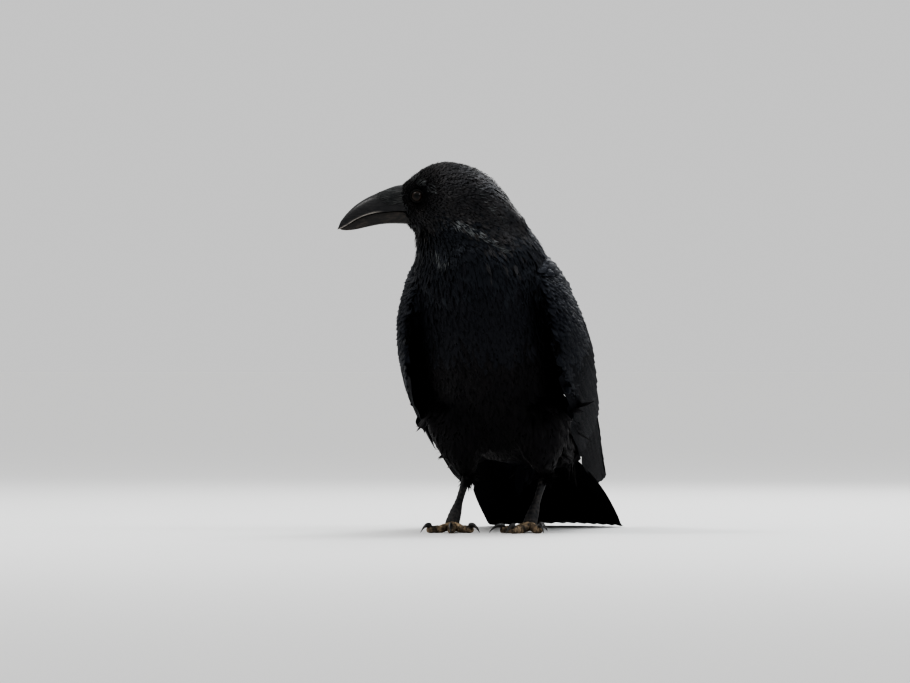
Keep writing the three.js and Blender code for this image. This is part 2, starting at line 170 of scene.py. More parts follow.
def joined(parts):
    """Several pairs of points and triangles as one pair."""
    starts = np.cumsum([0] + [len(points) for points, _ in parts[:-1]])
    triangles = [triangles + start for (_, triangles), start in zip(parts, starts)]
    return np.vstack([points for points, _ in parts]), np.vstack(triangles)


def add_uv(obj, name, uv):
    """A UV map from one pair of numbers for each vertex."""
    corners = values_of(obj.data.loops, "vertex_index", 1, int)[:, 0]
    layer = obj.data.uv_layers.new(name=name)
    layer.data.foreach_set("uv", uv[corners].ravel())


def add_tone(obj, values):
    attribute = obj.data.attributes.new("tone", "FLOAT", "POINT")
    attribute.data.foreach_set("value", np.asarray(values, float))


def grid_faces(rows, cols, closed=False):
    """Faces of a grid of points, row by row; closed joins each row's end to its start."""
    r = np.arange(rows - 1)[:, None]
    c = np.arange(cols if closed else cols - 1)[None, :]
    nxt = (c + 1) % cols
    a, b = r * cols + c, r * cols + nxt
    return np.stack([a, b, b + cols, a + cols], -1).reshape(-1, 4)


def tube(rings):
    """Points and faces of a closed body through rings, each an array of points."""
    rings = np.asarray(rings, float)
    rows, cols = rings.shape[:2]
    faces = [grid_faces(rows, cols, closed=True)]
    points = rings.reshape(-1, 3)
    ends = []
    for row, flip in ((0, False), (rows - 1, True)):
        ends.append(rings[row].mean(0))
        centre = rows * cols + len(ends) - 1
        a = row * cols + np.arange(cols)
        b = row * cols + (np.arange(cols) + 1) % cols
        cap = np.stack([b, a, np.full(cols, centre), np.full(cols, centre)], -1)
        faces.append(cap[:, [1, 0, 2, 3]] if flip else cap)
    return np.vstack([points, ends]), np.vstack(faces)


def through(rows):
    """Rows of numbers as one smooth function of t, from 0 at the first row to 1 at the last."""
    rows = np.asarray(rows, float)
    last = len(rows) - 1
    padded = np.vstack([rows[:1], rows, rows[-1:]])

    def at(t):
        place = np.clip(np.asarray(t, float), 0, 1) * last
        i = np.minimum(place.astype(int), last - 1)
        f = (place - i)[..., None]
        before, start, end, after = (padded[i + k] for k in range(4))
        leaving, arriving = (end - before) / 2, (after - start) / 2
        bend = 2 * (start - end) + leaving + arriving
        return ((bend * f + 3 * (end - start) - 2 * leaving - arriving) * f + leaving) * f + start

    return at


def settle(obj, slot, *replaced):
    """Says what a piece rides on and hides the solids that it stands for; slot is not used."""
    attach(obj, "root")
    if replaced:
        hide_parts(*replaced)


def bvh_tree(points, triangles):
    return BVHTree.FromPolygons(points.tolist(), triangles.tolist())


def kd_tree(points):
    tree = KDTree(len(points))
    for i, p in enumerate(points.tolist()):
        tree.insert(p, i)
    tree.balance()
    return tree


# ---- Materials ----
def colour(rgb):
    return (*rgb, 1.0)


class Finish:
    """A material, with short ways to add nodes to it."""

    def __init__(self, name):
        self.material = bpy.data.materials.new(name)
        self.material.use_nodes = True
        self.tree = self.material.node_tree
        self.shader = self.tree.nodes["Principled BSDF"]

    def feed(self, socket, value):
        if isinstance(value, bpy.types.NodeSocket):
            self.tree.links.new(value, socket)
        else:
            socket.default_value = value

    def node(self, kind, inputs=None, **settings):
        """The outputs of a new node."""
        node = self.tree.nodes.new("ShaderNode" + kind)
        for key, value in settings.items():
            setattr(node, key, value)
        for key, value in (inputs or {}).items():
            self.feed(node.inputs[key], value)
        return node.outputs

    def calc(self, operation, a, b=0.0, clamp=False):
        return self.node("Math", {0: a, 1: b}, operation=operation, use_clamp=clamp)[0]

    def times(self, a, b, clamp=False):
        return self.calc("MULTIPLY", a, b, clamp)

    def plus(self, a, b):
        return self.calc("ADD", a, b)

    def blend(self, share, a, b):
        node = self.tree.nodes.new("ShaderNodeMix")
        node.data_type = "RGBA"
        sockets = {s.name: s for s in node.inputs if s.enabled}
        for key, value in (("Factor", share), ("A", a), ("B", b)):
            self.feed(sockets[key], value)
        return [s for s in node.outputs if s.enabled][0]

    def ramp(self, value, start, end):
        return self.node("MapRange", {"Value": value, "From Min": start, "From Max": end})[0]

    def noise(self, place, scale, detail, roughness=0.5):
        inputs = {"Scale": scale, "Detail": detail, "Roughness": roughness}
        if place is not None:
            inputs["Vector"] = place
        return self.node("TexNoise", inputs)[0]

    def tone(self):
        return self.node("Attribute", attribute_name="tone")["Fac"]

    def place(self):
        return self.node("TexCoord")["Object"]

    def shade(self, inputs, height=None, depth=0.0):
        """Feeds the shader, with a bump where a height is given."""
        if height is not None:
            inputs["Normal"] = self.node("Bump", {"Strength": 0.5, "Distance": depth, "Height": height})[0]
        for key, value in inputs.items():
            self.feed(self.shader.inputs[key], value)
        return self.material


def plumage(name, dark, light, gloss, rough, shine, sheen=0.0, sheen_colour=(0.5, 0.5, 0.5), edge=0.25,
            streak=1.0, barbs=(90.0, 9.0)):
    """Feathers: barbs run out from a shaft. vane is (mm from the shaft, mm from the root) / 100."""
    look = Finish(f"plumage_{name}")
    calc, times, plus, ramp = look.calc, look.times, look.plus, look.ramp
    from_shaft, from_root, _ = look.node("SeparateXYZ", {0: look.node("UVMap", uv_map="vane")[0]})
    across = calc("ABSOLUTE", from_shaft)
    slant = calc("SUBTRACT", from_root, times(across, 1.1))
    tone = look.tone()
    # Clumps of barbs are streaks across the vane, unlike from feather to feather.
    streaks = {0: times(slant, barbs[0]), 1: times(from_shaft, barbs[1]), 2: times(tone, 40.0)}
    place = look.node("CombineXYZ", streaks)[0]
    clumps = look.noise(place, 1.0, 3.0, 0.6)
    ripple = {"Vector": place, "Scale": 0.7, "Distortion": 1.5, "Detail": 1.0}
    fine = look.node("TexWave", ripple, bands_direction="X")["Fac"]
    shaft = ramp(across, 0.006, 0.001)
    mottle = look.noise(look.place(), 60.0, 2.0)
    # A high tone lightens a feather towards its light colour; the tone is partly random and partly the
    # painted glints of the head's and the shoulder's spots.
    value = plus(times(ramp(clumps, 0.35, 0.75), 0.5), times(calc("POWER", tone, streak), 0.5))
    value = times(value, ramp(mottle, 0.3, 0.65), clamp=True)
    height = plus(plus(times(clumps, 0.8), times(fine, 0.25)), times(shaft, edge))
    surface = {
        "Base Color": look.blend(value, colour(dark), colour(light)),
        "Roughness": plus(times(clumps, 0.22), rough - 0.11),
        "Specular IOR Level": shine,
        "Specular Tint": colour(gloss),
        "Sheen Weight": sheen,
        "Sheen Roughness": 0.4,
        "Sheen Tint": colour(sheen_colour),
    }
    return look.shade(surface, height, 0.0006)


def horn(name, dark, light, rough, scale=(300, 300, 300), shine=0.5, bump_depth=0.0002, contrast=(0.4, 0.7),
         rim=None):
    """Horn, scales and bare skin: a stretched grain in patches, with a painted highlight on the rim where
    tone says so.
    """
    look = Finish(name)
    stretched = look.node("VectorMath", {0: look.place(), 1: scale}, operation="MULTIPLY")[0]
    grain = look.noise(stretched, 1.0, 5.0, 0.6)
    patches = look.noise(look.place(), 90.0, 3.0)
    share = look.times(look.ramp(grain, *contrast), look.ramp(patches, 0.3, 0.7), clamp=True)
    base = look.blend(share, colour(dark), colour(light))
    if rim:
        base = look.blend(look.times(look.tone(), look.ramp(grain, 0.2, 0.5), clamp=True), base, colour(rim))
    roughness = look.plus(look.times(grain, 0.25), rough - 0.12)
    surface = {"Base Color": base, "Roughness": roughness, "Specular IOR Level": shine}
    return look.shade(surface, grain, bump_depth)


BLACK = (0.003, 0.003, 0.004)
HEAD_COAT = plumage("head", (0.003, 0.003, 0.0035), (0.055, 0.049, 0.045), (0.9, 0.92, 1.0), 0.44, 0.34,
                    0.06, (0.6, 0.55, 0.52), streak=3.0, barbs=(14.0, 260.0))
NECK_COAT = plumage("neck", BLACK, (0.0125, 0.0133, 0.016), (0.76, 0.85, 1.0), 0.42, 0.28, 0.015,
                    (0.48, 0.52, 0.62), streak=3.0, barbs=(14.0, 170.0))
# Pale strands whose light colour paints highlights of the head's sheen.
HIGHLIGHT_STRANDS = plumage("highlight_strands", (0.006, 0.006, 0.0065), (0.22, 0.232, 0.235), (0.9, 0.95, 1.0), 0.4, 0.4,
                  streak=1.5, barbs=(10.0, 200.0))
BRISTLES = plumage("bristles", (0.004, 0.004, 0.0042), (0.13, 0.13, 0.12), (0.9, 0.95, 1.0), 0.42, 0.35,
                   streak=4.0, barbs=(10.0, 200.0))
BREAST_COAT = plumage("breast", BLACK, (0.0082, 0.0082, 0.01), (0.8, 0.84, 1.0), 0.44, 0.21, 0.02,
                      (0.48, 0.47, 0.55))
BELLY_COAT = plumage("belly", (0.003, 0.0028, 0.0028), (0.0115, 0.0098, 0.0092), (0.85, 0.82, 0.95), 0.52,
                     0.18, 0.04, (0.5, 0.46, 0.45), streak=2.0)
BACK_COAT = plumage("back", BLACK, (0.0095, 0.0098, 0.0118), (0.74, 0.8, 1.0), 0.44, 0.28, 0.015,
                    (0.42, 0.45, 0.58))
WING_COAT = plumage("wing", BLACK, (0.0175, 0.019, 0.0225), (0.7, 0.79, 1.0), 0.46, 0.22, 0.01,
                    (0.45, 0.5, 0.6), streak=1.6)
COVERT_COAT = plumage("coverts", BLACK, (0.0135, 0.0142, 0.0172), (0.72, 0.8, 1.0), 0.62, 0.085,
                      streak=1.4, edge=0.6)
FLIGHT = plumage("flight", BLACK, (0.009, 0.009, 0.011), (0.8, 0.84, 1.0), 0.66, 0.06, edge=0.8)
SKIN = horn("skin_under_feathers", (0.003, 0.003, 0.0035), (0.008, 0.0075, 0.0075), 0.8, shine=0.1)
LID = horn("lid_skin", (0.004, 0.004, 0.004), (0.014, 0.0125, 0.012), 0.55, (900, 900, 900), shine=0.14,
           bump_depth=0.0003)
# The rim colour is a painted highlight along the bill's edge.
BILL = horn("bill_horn", (0.006, 0.0062, 0.0075), (0.03, 0.0285, 0.0285), 0.36, (160, 900, 700), 0.4,
            rim=(0.2, 0.185, 0.17))
MANDIBLE = horn("mandible_horn", (0.008, 0.007, 0.0068), (0.05, 0.0385, 0.031), 0.4, (160, 700, 500), 0.35)
SCALES = horn("leg_scales", (0.009, 0.0095, 0.0115), (0.06, 0.052, 0.046), 0.55, (420, 420, 420), 0.3,
              0.0004)
TOE_SCALES = horn("toe_scales", (0.022, 0.02, 0.018), (0.44, 0.33, 0.215), 0.65, (380, 380, 380), 0.2,
                  0.0004, (0.34, 0.62))
CLAW = horn("claw_horn", (0.006, 0.006, 0.007), (0.04, 0.036, 0.032), 0.34, (300, 300, 900), 0.45)


# ---- Skin ----
FLESH = ["head", "neck", "trunk", "thigh_left", "thigh_right", "wing_left", "wing_right"]
CLOSING = 0.5  # how far the solids swell first, which closes the cuts between them
VOXEL = 2.6
SOFTENING = 14  # rounds of smoothing
COAT_DEPTH = 2.9  # how far the skin lies inside the solids
DEEPEST_SHARE = 0.42  # the most of the body's thickness that this may take
THICKEST = 12.0  # thickness isn't measured past this
UNWRAP = dict(angle_limit=math.radians(66), island_margin=0.004)


def vertex_normals(points, triangles):
    a, b, c = (points[triangles[:, k]] for k in range(3))
    face = np.cross(b - a, c - a)
    total = np.zeros_like(points)
    for k in range(3):
        np.add.at(total, triangles[:, k], face)
    return unit(total)


def welded(points, triangles):
    """Vertices that lie at one place become one."""
    keys, index = np.unique(np.round(points, 3), axis=0, return_inverse=True)
    return keys, index.reshape(-1)[triangles]


flesh = [mesh_of(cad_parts[node]) for node in FLESH]
swollen = []
for solid in flesh:
    points, triangles = welded(*solid)
    swollen.append((points + vertex_normals(points, triangles) * CLOSING, triangles))
points, faces = joined(swollen)
skin = mesh_object("skin", points, np.hstack([faces, faces[:, 2:]]), SKIN)
remesh = skin.modifiers.new("remesh", "REMESH")
remesh.mode = "VOXEL"
remesh.voxel_size = VOXEL * MM
soften = skin.modifiers.new("soften", "SMOOTH")
soften.factor = 0.5
soften.iterations = SOFTENING
baked = bpy.data.meshes.new_from_object(skin.evaluated_get(bpy.context.evaluated_depsgraph_get()))
skin.modifiers.clear()
skin.data = baked
baked.materials.clear()
baked.materials.append(SKIN)
skin_points, skin_triangles = mesh_of(skin)
inwards = -vertex_normals(skin_points, skin_triangles)
outer = bvh_tree(skin_points, skin_triangles)
rays = zip((skin_points + inwards * 0.2).tolist(), inwards.tolist())
hits = [outer.ray_cast(start, way, THICKEST)[3] for start, way in rays]
thickness = np.array([THICKEST if hit is None else hit for hit in hits])
skin_points = skin_points + inwards * np.minimum(COAT_DEPTH, DEEPEST_SHARE * thickness)[:, None]
baked.vertices.foreach_set("co", (skin_points * MM).ravel())
baked.shade_smooth()
skin_normals = vertex_normals(skin_points, skin_triangles)
settle(skin, "body_plumage", *FLESH)
print("skin", len(skin_triangles), "triangles")

# The skin's own unwrap, which the coat's feathers lie on as well.
bpy.context.view_layer.objects.active = skin
skin.select_set(True)
bpy.ops.object.mode_set(mode="EDIT")
bpy.ops.mesh.select_all(action="SELECT")
baked.uv_layers.new(name="OFBake")
bpy.ops.uv.smart_project(**UNWRAP)
bpy.ops.object.mode_set(mode="OBJECT")
skin.select_set(False)
baked = skin.data
_, skin_triangles = mesh_of(skin)
corner_uv = values_of(baked.uv_layers["OFBake"].data, "uv", 2)
triangle_uv = corner_uv[values_of(baked.loop_triangles, "loops", 3, int)].mean(1)


class Surface:
    """What the coat lies on: the nearest point of some triangles and the smooth normal there."""

    def __init__(self, points, triangles, normals=None):
        self.tree = bvh_tree(points, triangles)
        corner_normals = vertex_normals(points, triangles) if normals is None else normals
        self.normals = unit(corner_normals[triangles].mean(1))

    def nearest(self, places):
        found = [self.tree.find_nearest(p) for p in places.tolist()]
        where = np.array([f[0] for f in found])
        index = np.array([f[2] for f in found])
        return where, self.normals[index], index


body = Surface(skin_points, skin_triangles, skin_normals)
solids = [bvh_tree(*solid) for solid in flesh]


# ---- The lie of the coat ----
# In the head's measures: [ahead, left, up], the way the feathers lie, then their length, width and
# how far their tips stand out, and the kind of feather. Both sides of the head are alike.
HEAD_GUIDES = [
    ([58, 0, 5], [-1, 0, 0.3], 3.4, 1.7, 0.7, "face"),
    ([40, 0, 24], [-1, 0, 0.15], 4.6, 1.9, 0.8, "face"),
    ([15, 0, 35], [-1, 0, -0.05], 6.5, 2.2, 1.2, "crown"),
    ([-20, 0, 28], [-1, 0, -0.35], 9, 2.7, 1.5, "crown"),
    ([-45, 0, 8], [-0.85, 0, -0.6], 13, 3.2, 1.2, "crown"),
    ([50, 13, -6], [-1, 0.15, -0.05], 2.6, 1.4, 0.5, "face"),
    ([38, 20, 6], [-1, 0.1, 0.05], 2.4, 1.3, 0.5, "face"),
    ([37, 20, -10], [-1, 0.1, -0.1], 2.6, 1.3, 0.5, "face"),
    ([28, 24, -4], [-1, 0.1, -0.1], 4, 1.6, 0.7, "face"),
    ([12, 29, -10], [-1, 0, -0.22], 8, 2.0, 1.2, "crown"),
    ([-12, 32, -14], [-0.93, 0, -0.38], 10.5, 2.5, 1.6, "crown"),
    ([-38, 26, -28], [-0.8, 0, -0.65], 14, 3.4, 1.8, "crown"),
    ([47, 11, -27], [-0.9, 0.1, -0.35], 4.5, 1.6, 0.8, "face"),
    ([36, 20, -28], [-0.85, 0.1, -0.5], 7, 2.0, 1.2, "crown"),
    ([20, 27, -34], [-0.75, 0.05, -0.65], 12, 2.7, 1.6, "hackle"),
    ([-5, 31, -42], [-0.65, 0, -0.8], 15, 3.2, 1.9, "hackle"),
    ([47, 0, -29], [-0.55, 0, -0.8], 9, 1.8, 4.5, "hackle"),
    ([40, 0, -38], [-0.4, 0, -0.9], 14, 2.4, 5.0, "hackle"),
    ([20, 0, -58], [-0.3, 0, -0.95], 20, 3.6, 2.6, "hackle"),
]
# In the bird's own measures, with each place off the middle used on both sides.
BODY_GUIDES = [
    ([-48, -100, 268], [0.1, -0.1, -1], 24, 4.2, 3.2, "hackle"),
    ([0, -116, 262], [0.05, -0.25, -1], 27, 4.6, 3.4, "hackle"),
    ([52, -90, 262], [0.2, 0.0, -1], 22, 4.6, 2.6, "hackle"),
    ([0, -128, 232], [0, -0.08, -1], 25, 5.4, 2.8, "breast"),
    ([50, -112, 226], [0.15, 0, -1], 21, 5.8, 2.2, "breast"),
    ([0, -132, 190], [0, 0.2, -1], 22, 7.4, 2.0, "breast"),
    ([55, -95, 185], [0.12, 0.3, -1], 21, 7.4, 2.0, "breast"),
    ([0, -105, 145], [0, 0.45, -0.9], 23, 7.0, 2.4, "belly"),
    ([48, -70, 140], [0.05, 0.5, -0.85], 22, 6.8, 2.4, "belly"),
    ([0, -45, 105], [0, 0.8, -0.6], 25, 5.4, 2.6, "belly"),
    ([0, 30, 80], [0, 0.95, -0.35], 27, 4.8, 2.2, "belly"),
    ([0, 100, 66], [0, 1, -0.3], 40, 5.0, 1.2, "vent"),
    ([34, 80, 84], [0.0, 0.95, -0.25], 34, 4.8, 1.2, "vent"),
    ([20, -38, 302], [0.25, 0.45, -0.85], 15, 4.2, 1.2, "mantle"),
    ([45, -50, 275], [0.35, 0.35, -0.9], 16, 5.2, 2.0, "mantle"),
    ([0, -5, 268], [0, 0.75, -0.65], 20, 8.5, 2.0, "mantle"),
    ([0, 55, 215], [0, 0.8, -0.6], 23, 10.0, 2.0, "mantle"),
    ([0, 110, 165], [0, 0.85, -0.55], 27, 10.5, 2.0, "mantle"),
    ([0, 165, 125], [0, 0.88, -0.47], 40, 11.0, 1.8, "rump"),
    ([28, 170, 112], [0.1, 0.88, -0.47], 42, 10.5, 1.6, "rump"),
    ([72, 0, 165], [0, 0.7, -0.7], 20, 9.0, 2.0, "belly"),
    ([58, 40, 125], [0, 0.75, -0.65], 25, 7.0, 2.8, "flank"),
    ([60, 78, 92], [0, 0.9, -0.4], 28, 5.0, 2.2, "flank"),
    ([46, -8, 118], [0, 0.35, -0.95], 21, 5.4, 2.6, "thigh"),
    ([45, 16, 92], [0, 0.2, -1], 20, 4.2, 2.4, "thigh"),
    ([44, 34, 70], [0, 0.05, -1], 20, 2.6, 1.5, "thigh"),
    ([50, 42, 62], [0, -0.05, -1], 18, 2.2, 1.2, "thigh"),
]
# On the folded wing, away from the middle.
WING_GUIDES = [
    ([60, -84, 235], [0.15, 0.15, -1], 10, 4.6, 1.6, "covert"),
    ([74, -64, 190], [0.1, 0.45, -0.9], 11, 5.2, 1.6, "covert"),
    ([68, -60, 235], [0.15, 0.55, -0.8], 12, 6.0, 1.9, "covert"),
    ([90, -20, 195], [0.05, 0.75, -0.66], 14, 7.6, 2.2, "covert"),
    ([80, -5, 145], [0.0, 0.8, -0.6], 13, 6.4, 1.6, "covert"),
    ([80, 60, 150], [0.0, 0.86, -0.5], 15, 7.5, 1.4, "covert"),
    ([45, 0, 258], [0.1, 0.8, -0.6], 16, 8.0, 2.0, "covert"),
]
KINDS = ["face", "crown", "hackle", "breast", "belly", "vent", "mantle", "rump", "flank", "thigh", "covert"]
# A kind's spacing as a share of its width, then how ragged and how pointed it is, its columns and rows,
# and the share of its feathers that stand out further.
SHAPES = {
    "face": (0.52, 0.3, 1.5, 3, 4, 0.06),
    "crown": (0.5, 0.3, 1.6, 3, 5, 0.02),
    "hackle": (0.48, 0.3, 2.0, 3, 7, 0.02),
    "breast": (0.46, 0.25, 1.2, 5, 6, 0.04),
    "belly": (0.46, 0.35, 1.4, 5, 6, 0.03),
    "vent": (0.46, 0.2, 1.0, 5, 7, 0.0),
    "mantle": (0.46, 0.14, 0.8, 5, 6, 0.02),
    "rump": (0.42, 0.2, 0.9, 5, 7, 0.02),
    "flank": (0.46, 0.3, 1.4, 5, 6, 0.01),
    "thigh": (0.5, 0.28, 1.5, 3, 6, 0.02),
    "covert": (0.5, 0.1, 0.7, 5, 5, 0.0),
}
CLINGING = ("belly", "vent", "flank")  # kinds that never leave the body's edge


def shape_of(kind):
    return dict(zip(("ragged", "point", "cols", "rows", "loose"), SHAPES[kind][1:]))


BLEND_ROOM = 36.0  # mm squared, within which guides weigh about alike
BLEND_POWER = -1.8


class Lie:
    """The way, length, width, stand and kind of the feathers at a place, blended from guides near it."""

    def __init__(self, rows):
        self.at = np.array([r[0] for r in rows])
        self.way = np.array([r[1] for r in rows])
        self.size = np.array([[r[2], r[3], r[4]] for r in rows])
        self.kind = np.array([KINDS.index(r[5]) for r in rows])

    def __call__(self, places):
        gap = ((places[:, None, :] - self.at[None]) ** 2).sum(-1)
        weight = (gap + BLEND_ROOM) ** BLEND_POWER
        total = weight.sum(1, keepdims=True)
        return weight @ self.way / total, weight @ self.size / total, self.kind[weight.argmax(1)]


def head_rows():
    """The head's guides as places and ways in the frame, on both sides where they are off the middle."""
    rows = []
    for at, way, *rest in HEAD_GUIDES:
        for side in (1, -1) if at[1] else (1,):
            direction = way[0] * FORWARD + side * way[1] * HEAD_LEFT + way[2] * Z
            rows.append((in_head(at[0], side * at[1], at[2]), unit(direction), *rest))
    return rows


def mirrored(guides):
    """The same for guides in the bird's own measures, on both sides where they are left of the middle."""
    rows = []
    for at, way, *rest in guides:
        for side in (1, -1) if at[0] > 0 else (1,):
            mirror = np.array([side, 1, 1])
            rows.append((np.array(at) * mirror + BIRD, unit(way * mirror), *rest))
    return rows


body_lie = Lie(head_rows() + mirrored(BODY_GUIDES))
wing_lie = Lie(mirrored(WING_GUIDES))


# Painted highlights: spots on the head where feathers come out lighter, standing for glints of the sheen:
# [ahead, left, up] in the head's measures, how far they reach and the power that a feather's tone is raised
# to; elsewhere the higher power below keeps them dark.
PAINTED_GLINT_SPOTS = [
    ((31, 21, 10), 9, 0.3),
    ((42, 18, 11), 6, 0.4),
    ((0, 30, -26), 9, 0.45),
    ((-14, 32, -32), 10, 0.4),
    ((-32, 29, -42), 11, 0.45),
    ((-26, 14, 14), 20, 0.6),
    ((19, 22, -51), 12, 0.3),
    ((12, 8, 32), 10, 0.6),
]
# The shoulder's painted glint, in the bird's own measures, used on both sides.
SHOULDER_GLINT = (66, -58, 222)
UNGLINTED_TONE_POWER = 1.7


# A feather's tone: random from feather to feather, and lighter in the spots above, which paints glints of the
# sheen into its colour.
def tone_with_painted_glints(places):
    power = np.full(len(places), UNGLINTED_TONE_POWER)
    spots = [(in_head(a, side * b, c), reach, low) for (a, b, c), reach, low in PAINTED_GLINT_SPOTS for side in (1, -1)]
    spots += [(np.array(SHOULDER_GLINT) * [side, 1, 1] + BIRD, 34, 0.45) for side in (1, -1)]
    for at, reach, low in spots:
        gap = np.linalg.norm(places - at, axis=1)
        power = np.minimum(power, mix(low, UNGLINTED_TONE_POWER, smooth_step(0.5 * reach, 1.4 * reach, gap)))
    return rng.random(len(places)) ** power


TRIES, PACKING = 7, 0.8  # places tried for each that is kept, about


def spread(surface_points, triangles, radius_at):
    """Places spread evenly over triangles, each about its own radius from the next."""
    a, b, c = (surface_points[triangles[:, k]] for k in range(3))
    area = np.linalg.norm(np.cross(b - a, c - a), axis=1) / 2
    radius = radius_at((a + b + c) / 3)
    tries = rng.poisson(area / radius**2 * TRIES * PACKING)
    index = np.repeat(np.arange(len(triangles)), tries)
    u, v = rng.random(len(index)), rng.random(len(index))
    flip = u + v > 1
    u[flip], v[flip] = 1 - u[flip], 1 - v[flip]
    places = a[index] + (b - a)[index] * u[:, None] + (c - a)[index] * v[:, None]
    order = rng.permutation(len(places))
    places, index = places[order], index[order]
    tree = kd_tree(places)
    alive = np.ones(len(places), bool)
    kept = []
    room = radius[index].tolist()
    for i, p in enumerate(places.tolist()):
        if alive[i]:
            kept.append(i)
            for _, j, _ in tree.find_range(p, room[i]):
                alive[j] = False
    return places[kept], index[kept]


def vane_profile(t, point):
    """Half a feather's width along its length, as a share of the widest."""
    base = smooth_step(-0.25, 0.45, t)
    tip = np.clip(1 - np.clip((t - 0.45) / 0.55, 0, 1) ** 2.2, 0, 1) ** (0.5 * point)
    return base * tip


BAKE_SPAN = 0.003  # a feather's size on the OFBake map


class Coat:
    """Gathers feathers into one mesh with its vane and OFBake maps."""

    def __init__(self, name, material, slot="body_plumage"):
        self.name, self.material, self.slot = name, material, slot
        self.points, self.faces, self.vane, self.bake, self.tone = [], [], [], [], []
        self.count = 0

    def add(self, points, vane, root_uv, tone):
        """points: feathers x rows x cols x 3; vane: the same with 2, in mm from shaft and root."""
        n, rows, cols = points.shape[:3]
        faces = grid_faces(rows, cols)[None] + (np.arange(n) * rows * cols)[:, None, None]
        self.points.append(points.reshape(-1, 3))
        self.faces.append(faces.reshape(-1, 4) + self.count)
        self.vane.append(vane.reshape(-1, 2) / 100)
        span = np.abs(vane).max(axis=(1, 2), keepdims=True)
        local = vane / np.maximum(span, 1e-6) * [0.5, 1.0] - [0, 0.5]
        self.bake.append((root_uv[:, None, None, :] + BAKE_SPAN * local).reshape(-1, 2))
        self.tone.append(np.repeat(tone, rows * cols))
        self.count += n * rows * cols

    def build(self, *replaced):
        points, faces = np.vstack(self.points), np.vstack(self.faces)
        obj = mesh_object(self.name, points, faces, self.material)
        add_uv(obj, "vane", np.vstack(self.vane))
        add_uv(obj, "OFBake", np.vstack(self.bake))
        add_tone(obj, np.concatenate(self.tone))
        settle(obj, self.slot, *replaced)
        print(self.name, 2 * len(faces), "triangles")


# How far feathers' lengths and widths, and how far they stand out, may differ from what is asked.
SIZE_RANGE = (0.75, 1.3)
STAND_RANGE = (0.3, 1.4)
LOOSE_RANGE = (1.2, 1.8)


def lay(surface, coat, roots, ways, normals, uv, length, width, stand, cols, rows, ragged, point, arch=0.25,
        sink=0.9, turn=0.1, blow=0.35, loose=0.0, cling=False):
    """Feathers that lie on a surface from their roots and stand out a little towards their tips.

    loose is the share that stands out further; with cling they never leave the surface's edge.
    """
    n = len(roots)
    if n == 0:
        return
    length = length * rng.normal(1, 0.1, n).clip(*SIZE_RANGE)
    width = width * rng.normal(1, 0.1, n).clip(*SIZE_RANGE)
    stand = stand * rng.normal(1, blow, n).clip(*STAND_RANGE)
    stand = stand * np.where(rng.random(n) < loose, rng.uniform(*LOOSE_RANGE, n), 1.0)
    way = unit(ways - normals * (ways * normals).sum(1, keepdims=True))
    side = np.cross(normals, way)
    twist = rng.normal(0, turn, n)[:, None]
    way = unit(way * np.cos(twist) + side * np.sin(twist))
    tilt = rng.normal(0, 0.12, n)[:, None]
    stations = np.linspace(0, 1, rows)
    here, normal, way_here = roots.copy(), normals.copy(), way.copy()
    spine, ups, sides = [], [], []
    for k, t in enumerate(stations):
        if k:
            step = length / (rows - 1)
            ahead = here + way_here * step[:, None]
            found, found_normal, _ = surface.nearest(ahead)
            off = ahead - found
            far = np.linalg.norm(off, axis=1)
            free = ((off * way_here).sum(1) > 0.5 * far) & (far > 0.8)
            free |= far > step
            free &= not cling
            here = np.where(free[:, None], ahead, found)
            normal = np.where(free[:, None], normal, unit(normal * 0.4 + found_normal * 0.6))
            turned = unit(way_here - normal * (way_here * normal).sum(1, keepdims=True))
            way_here = np.where(free[:, None], way_here, turned)
        lift = -sink + (stand + sink) * t ** 0.9
        across = unit(np.cross(normal, way_here))
        spine.append(here + normal * lift[:, None])
        ups.append(normal)
        sides.append(unit(across + normal * tilt))
    spine, ups, sides = (np.stack(v, 1) for v in (spine, ups, sides))
    u = np.linspace(-1, 1, cols)
    half = width[:, None, None] / 2 * vane_profile(stations, point)[None, :, None]
    wobble = 1 + rng.normal(0, ragged * 0.35, (n, rows, cols))
    out = half * u * wobble
    droop = -arch * np.abs(out) * np.abs(u)
    # Ragged ends: each column stops at its own length.
    short = np.abs(rng.normal(0, ragged * 0.45, (n, 1, cols))) * (stations[None, :, None] ** 3)
    along = np.gradient(spine, axis=1) * (rows - 1)
    points = (
        spine[:, :, None, :]
        + sides[:, :, None, :] * out[..., None]
        + ups[:, :, None, :] * droop[..., None]
        - along[:, :, None, :] * short[..., None]
    )
    from_root = (stations[None, :, None] - short) * length[:, None, None]
    vane = np.stack([out, from_root], -1)
    # Each feather's tone, lighter in the spots of painted glints.
    coat.add(points, vane, uv, tone_with_painted_glints(roots))


def uv_near(places):
    """The skin's unwrap at the places nearest to some points."""
    _, _, index = body.nearest(np.atleast_2d(places))
    return triangle_uv[index]


# ---- Wings ----
# Down the folded wing: share of its length, dorsal edge, lower edge, bulge.
WING = [
    (0.0, (50, -66, 260), (58, -88, 212), 9),
    (0.12, (50, -36, 268), (74, -66, 170), 19.5),
    (0.28, (36, 22, 252), (81, -20, 134), 32.5),
    (0.45, (22, 84, 211), (76, 40, 100), 38.5),
    (0.62, (14, 142, 166), (70, 102, 75), 38),
    (0.8, (17, 206, 118), (65, 182, 53), 31),
    (1.0, (43, 284, 62), (60, 276, 42), 9),
]
WING_POSE = {1: (1.02, 7), -1: (0.92, 17)}  # width and flare of the left and the right wing
FULLNESS = 2.4
wing_at = through([[*top, *low, bulge] for _, top, low, bulge in WING])
WING_SHARES = [row[0] for row in WING]


def wing_t(share):
    return np.interp(share, WING_SHARES, np.linspace(0, 1, len(WING)))


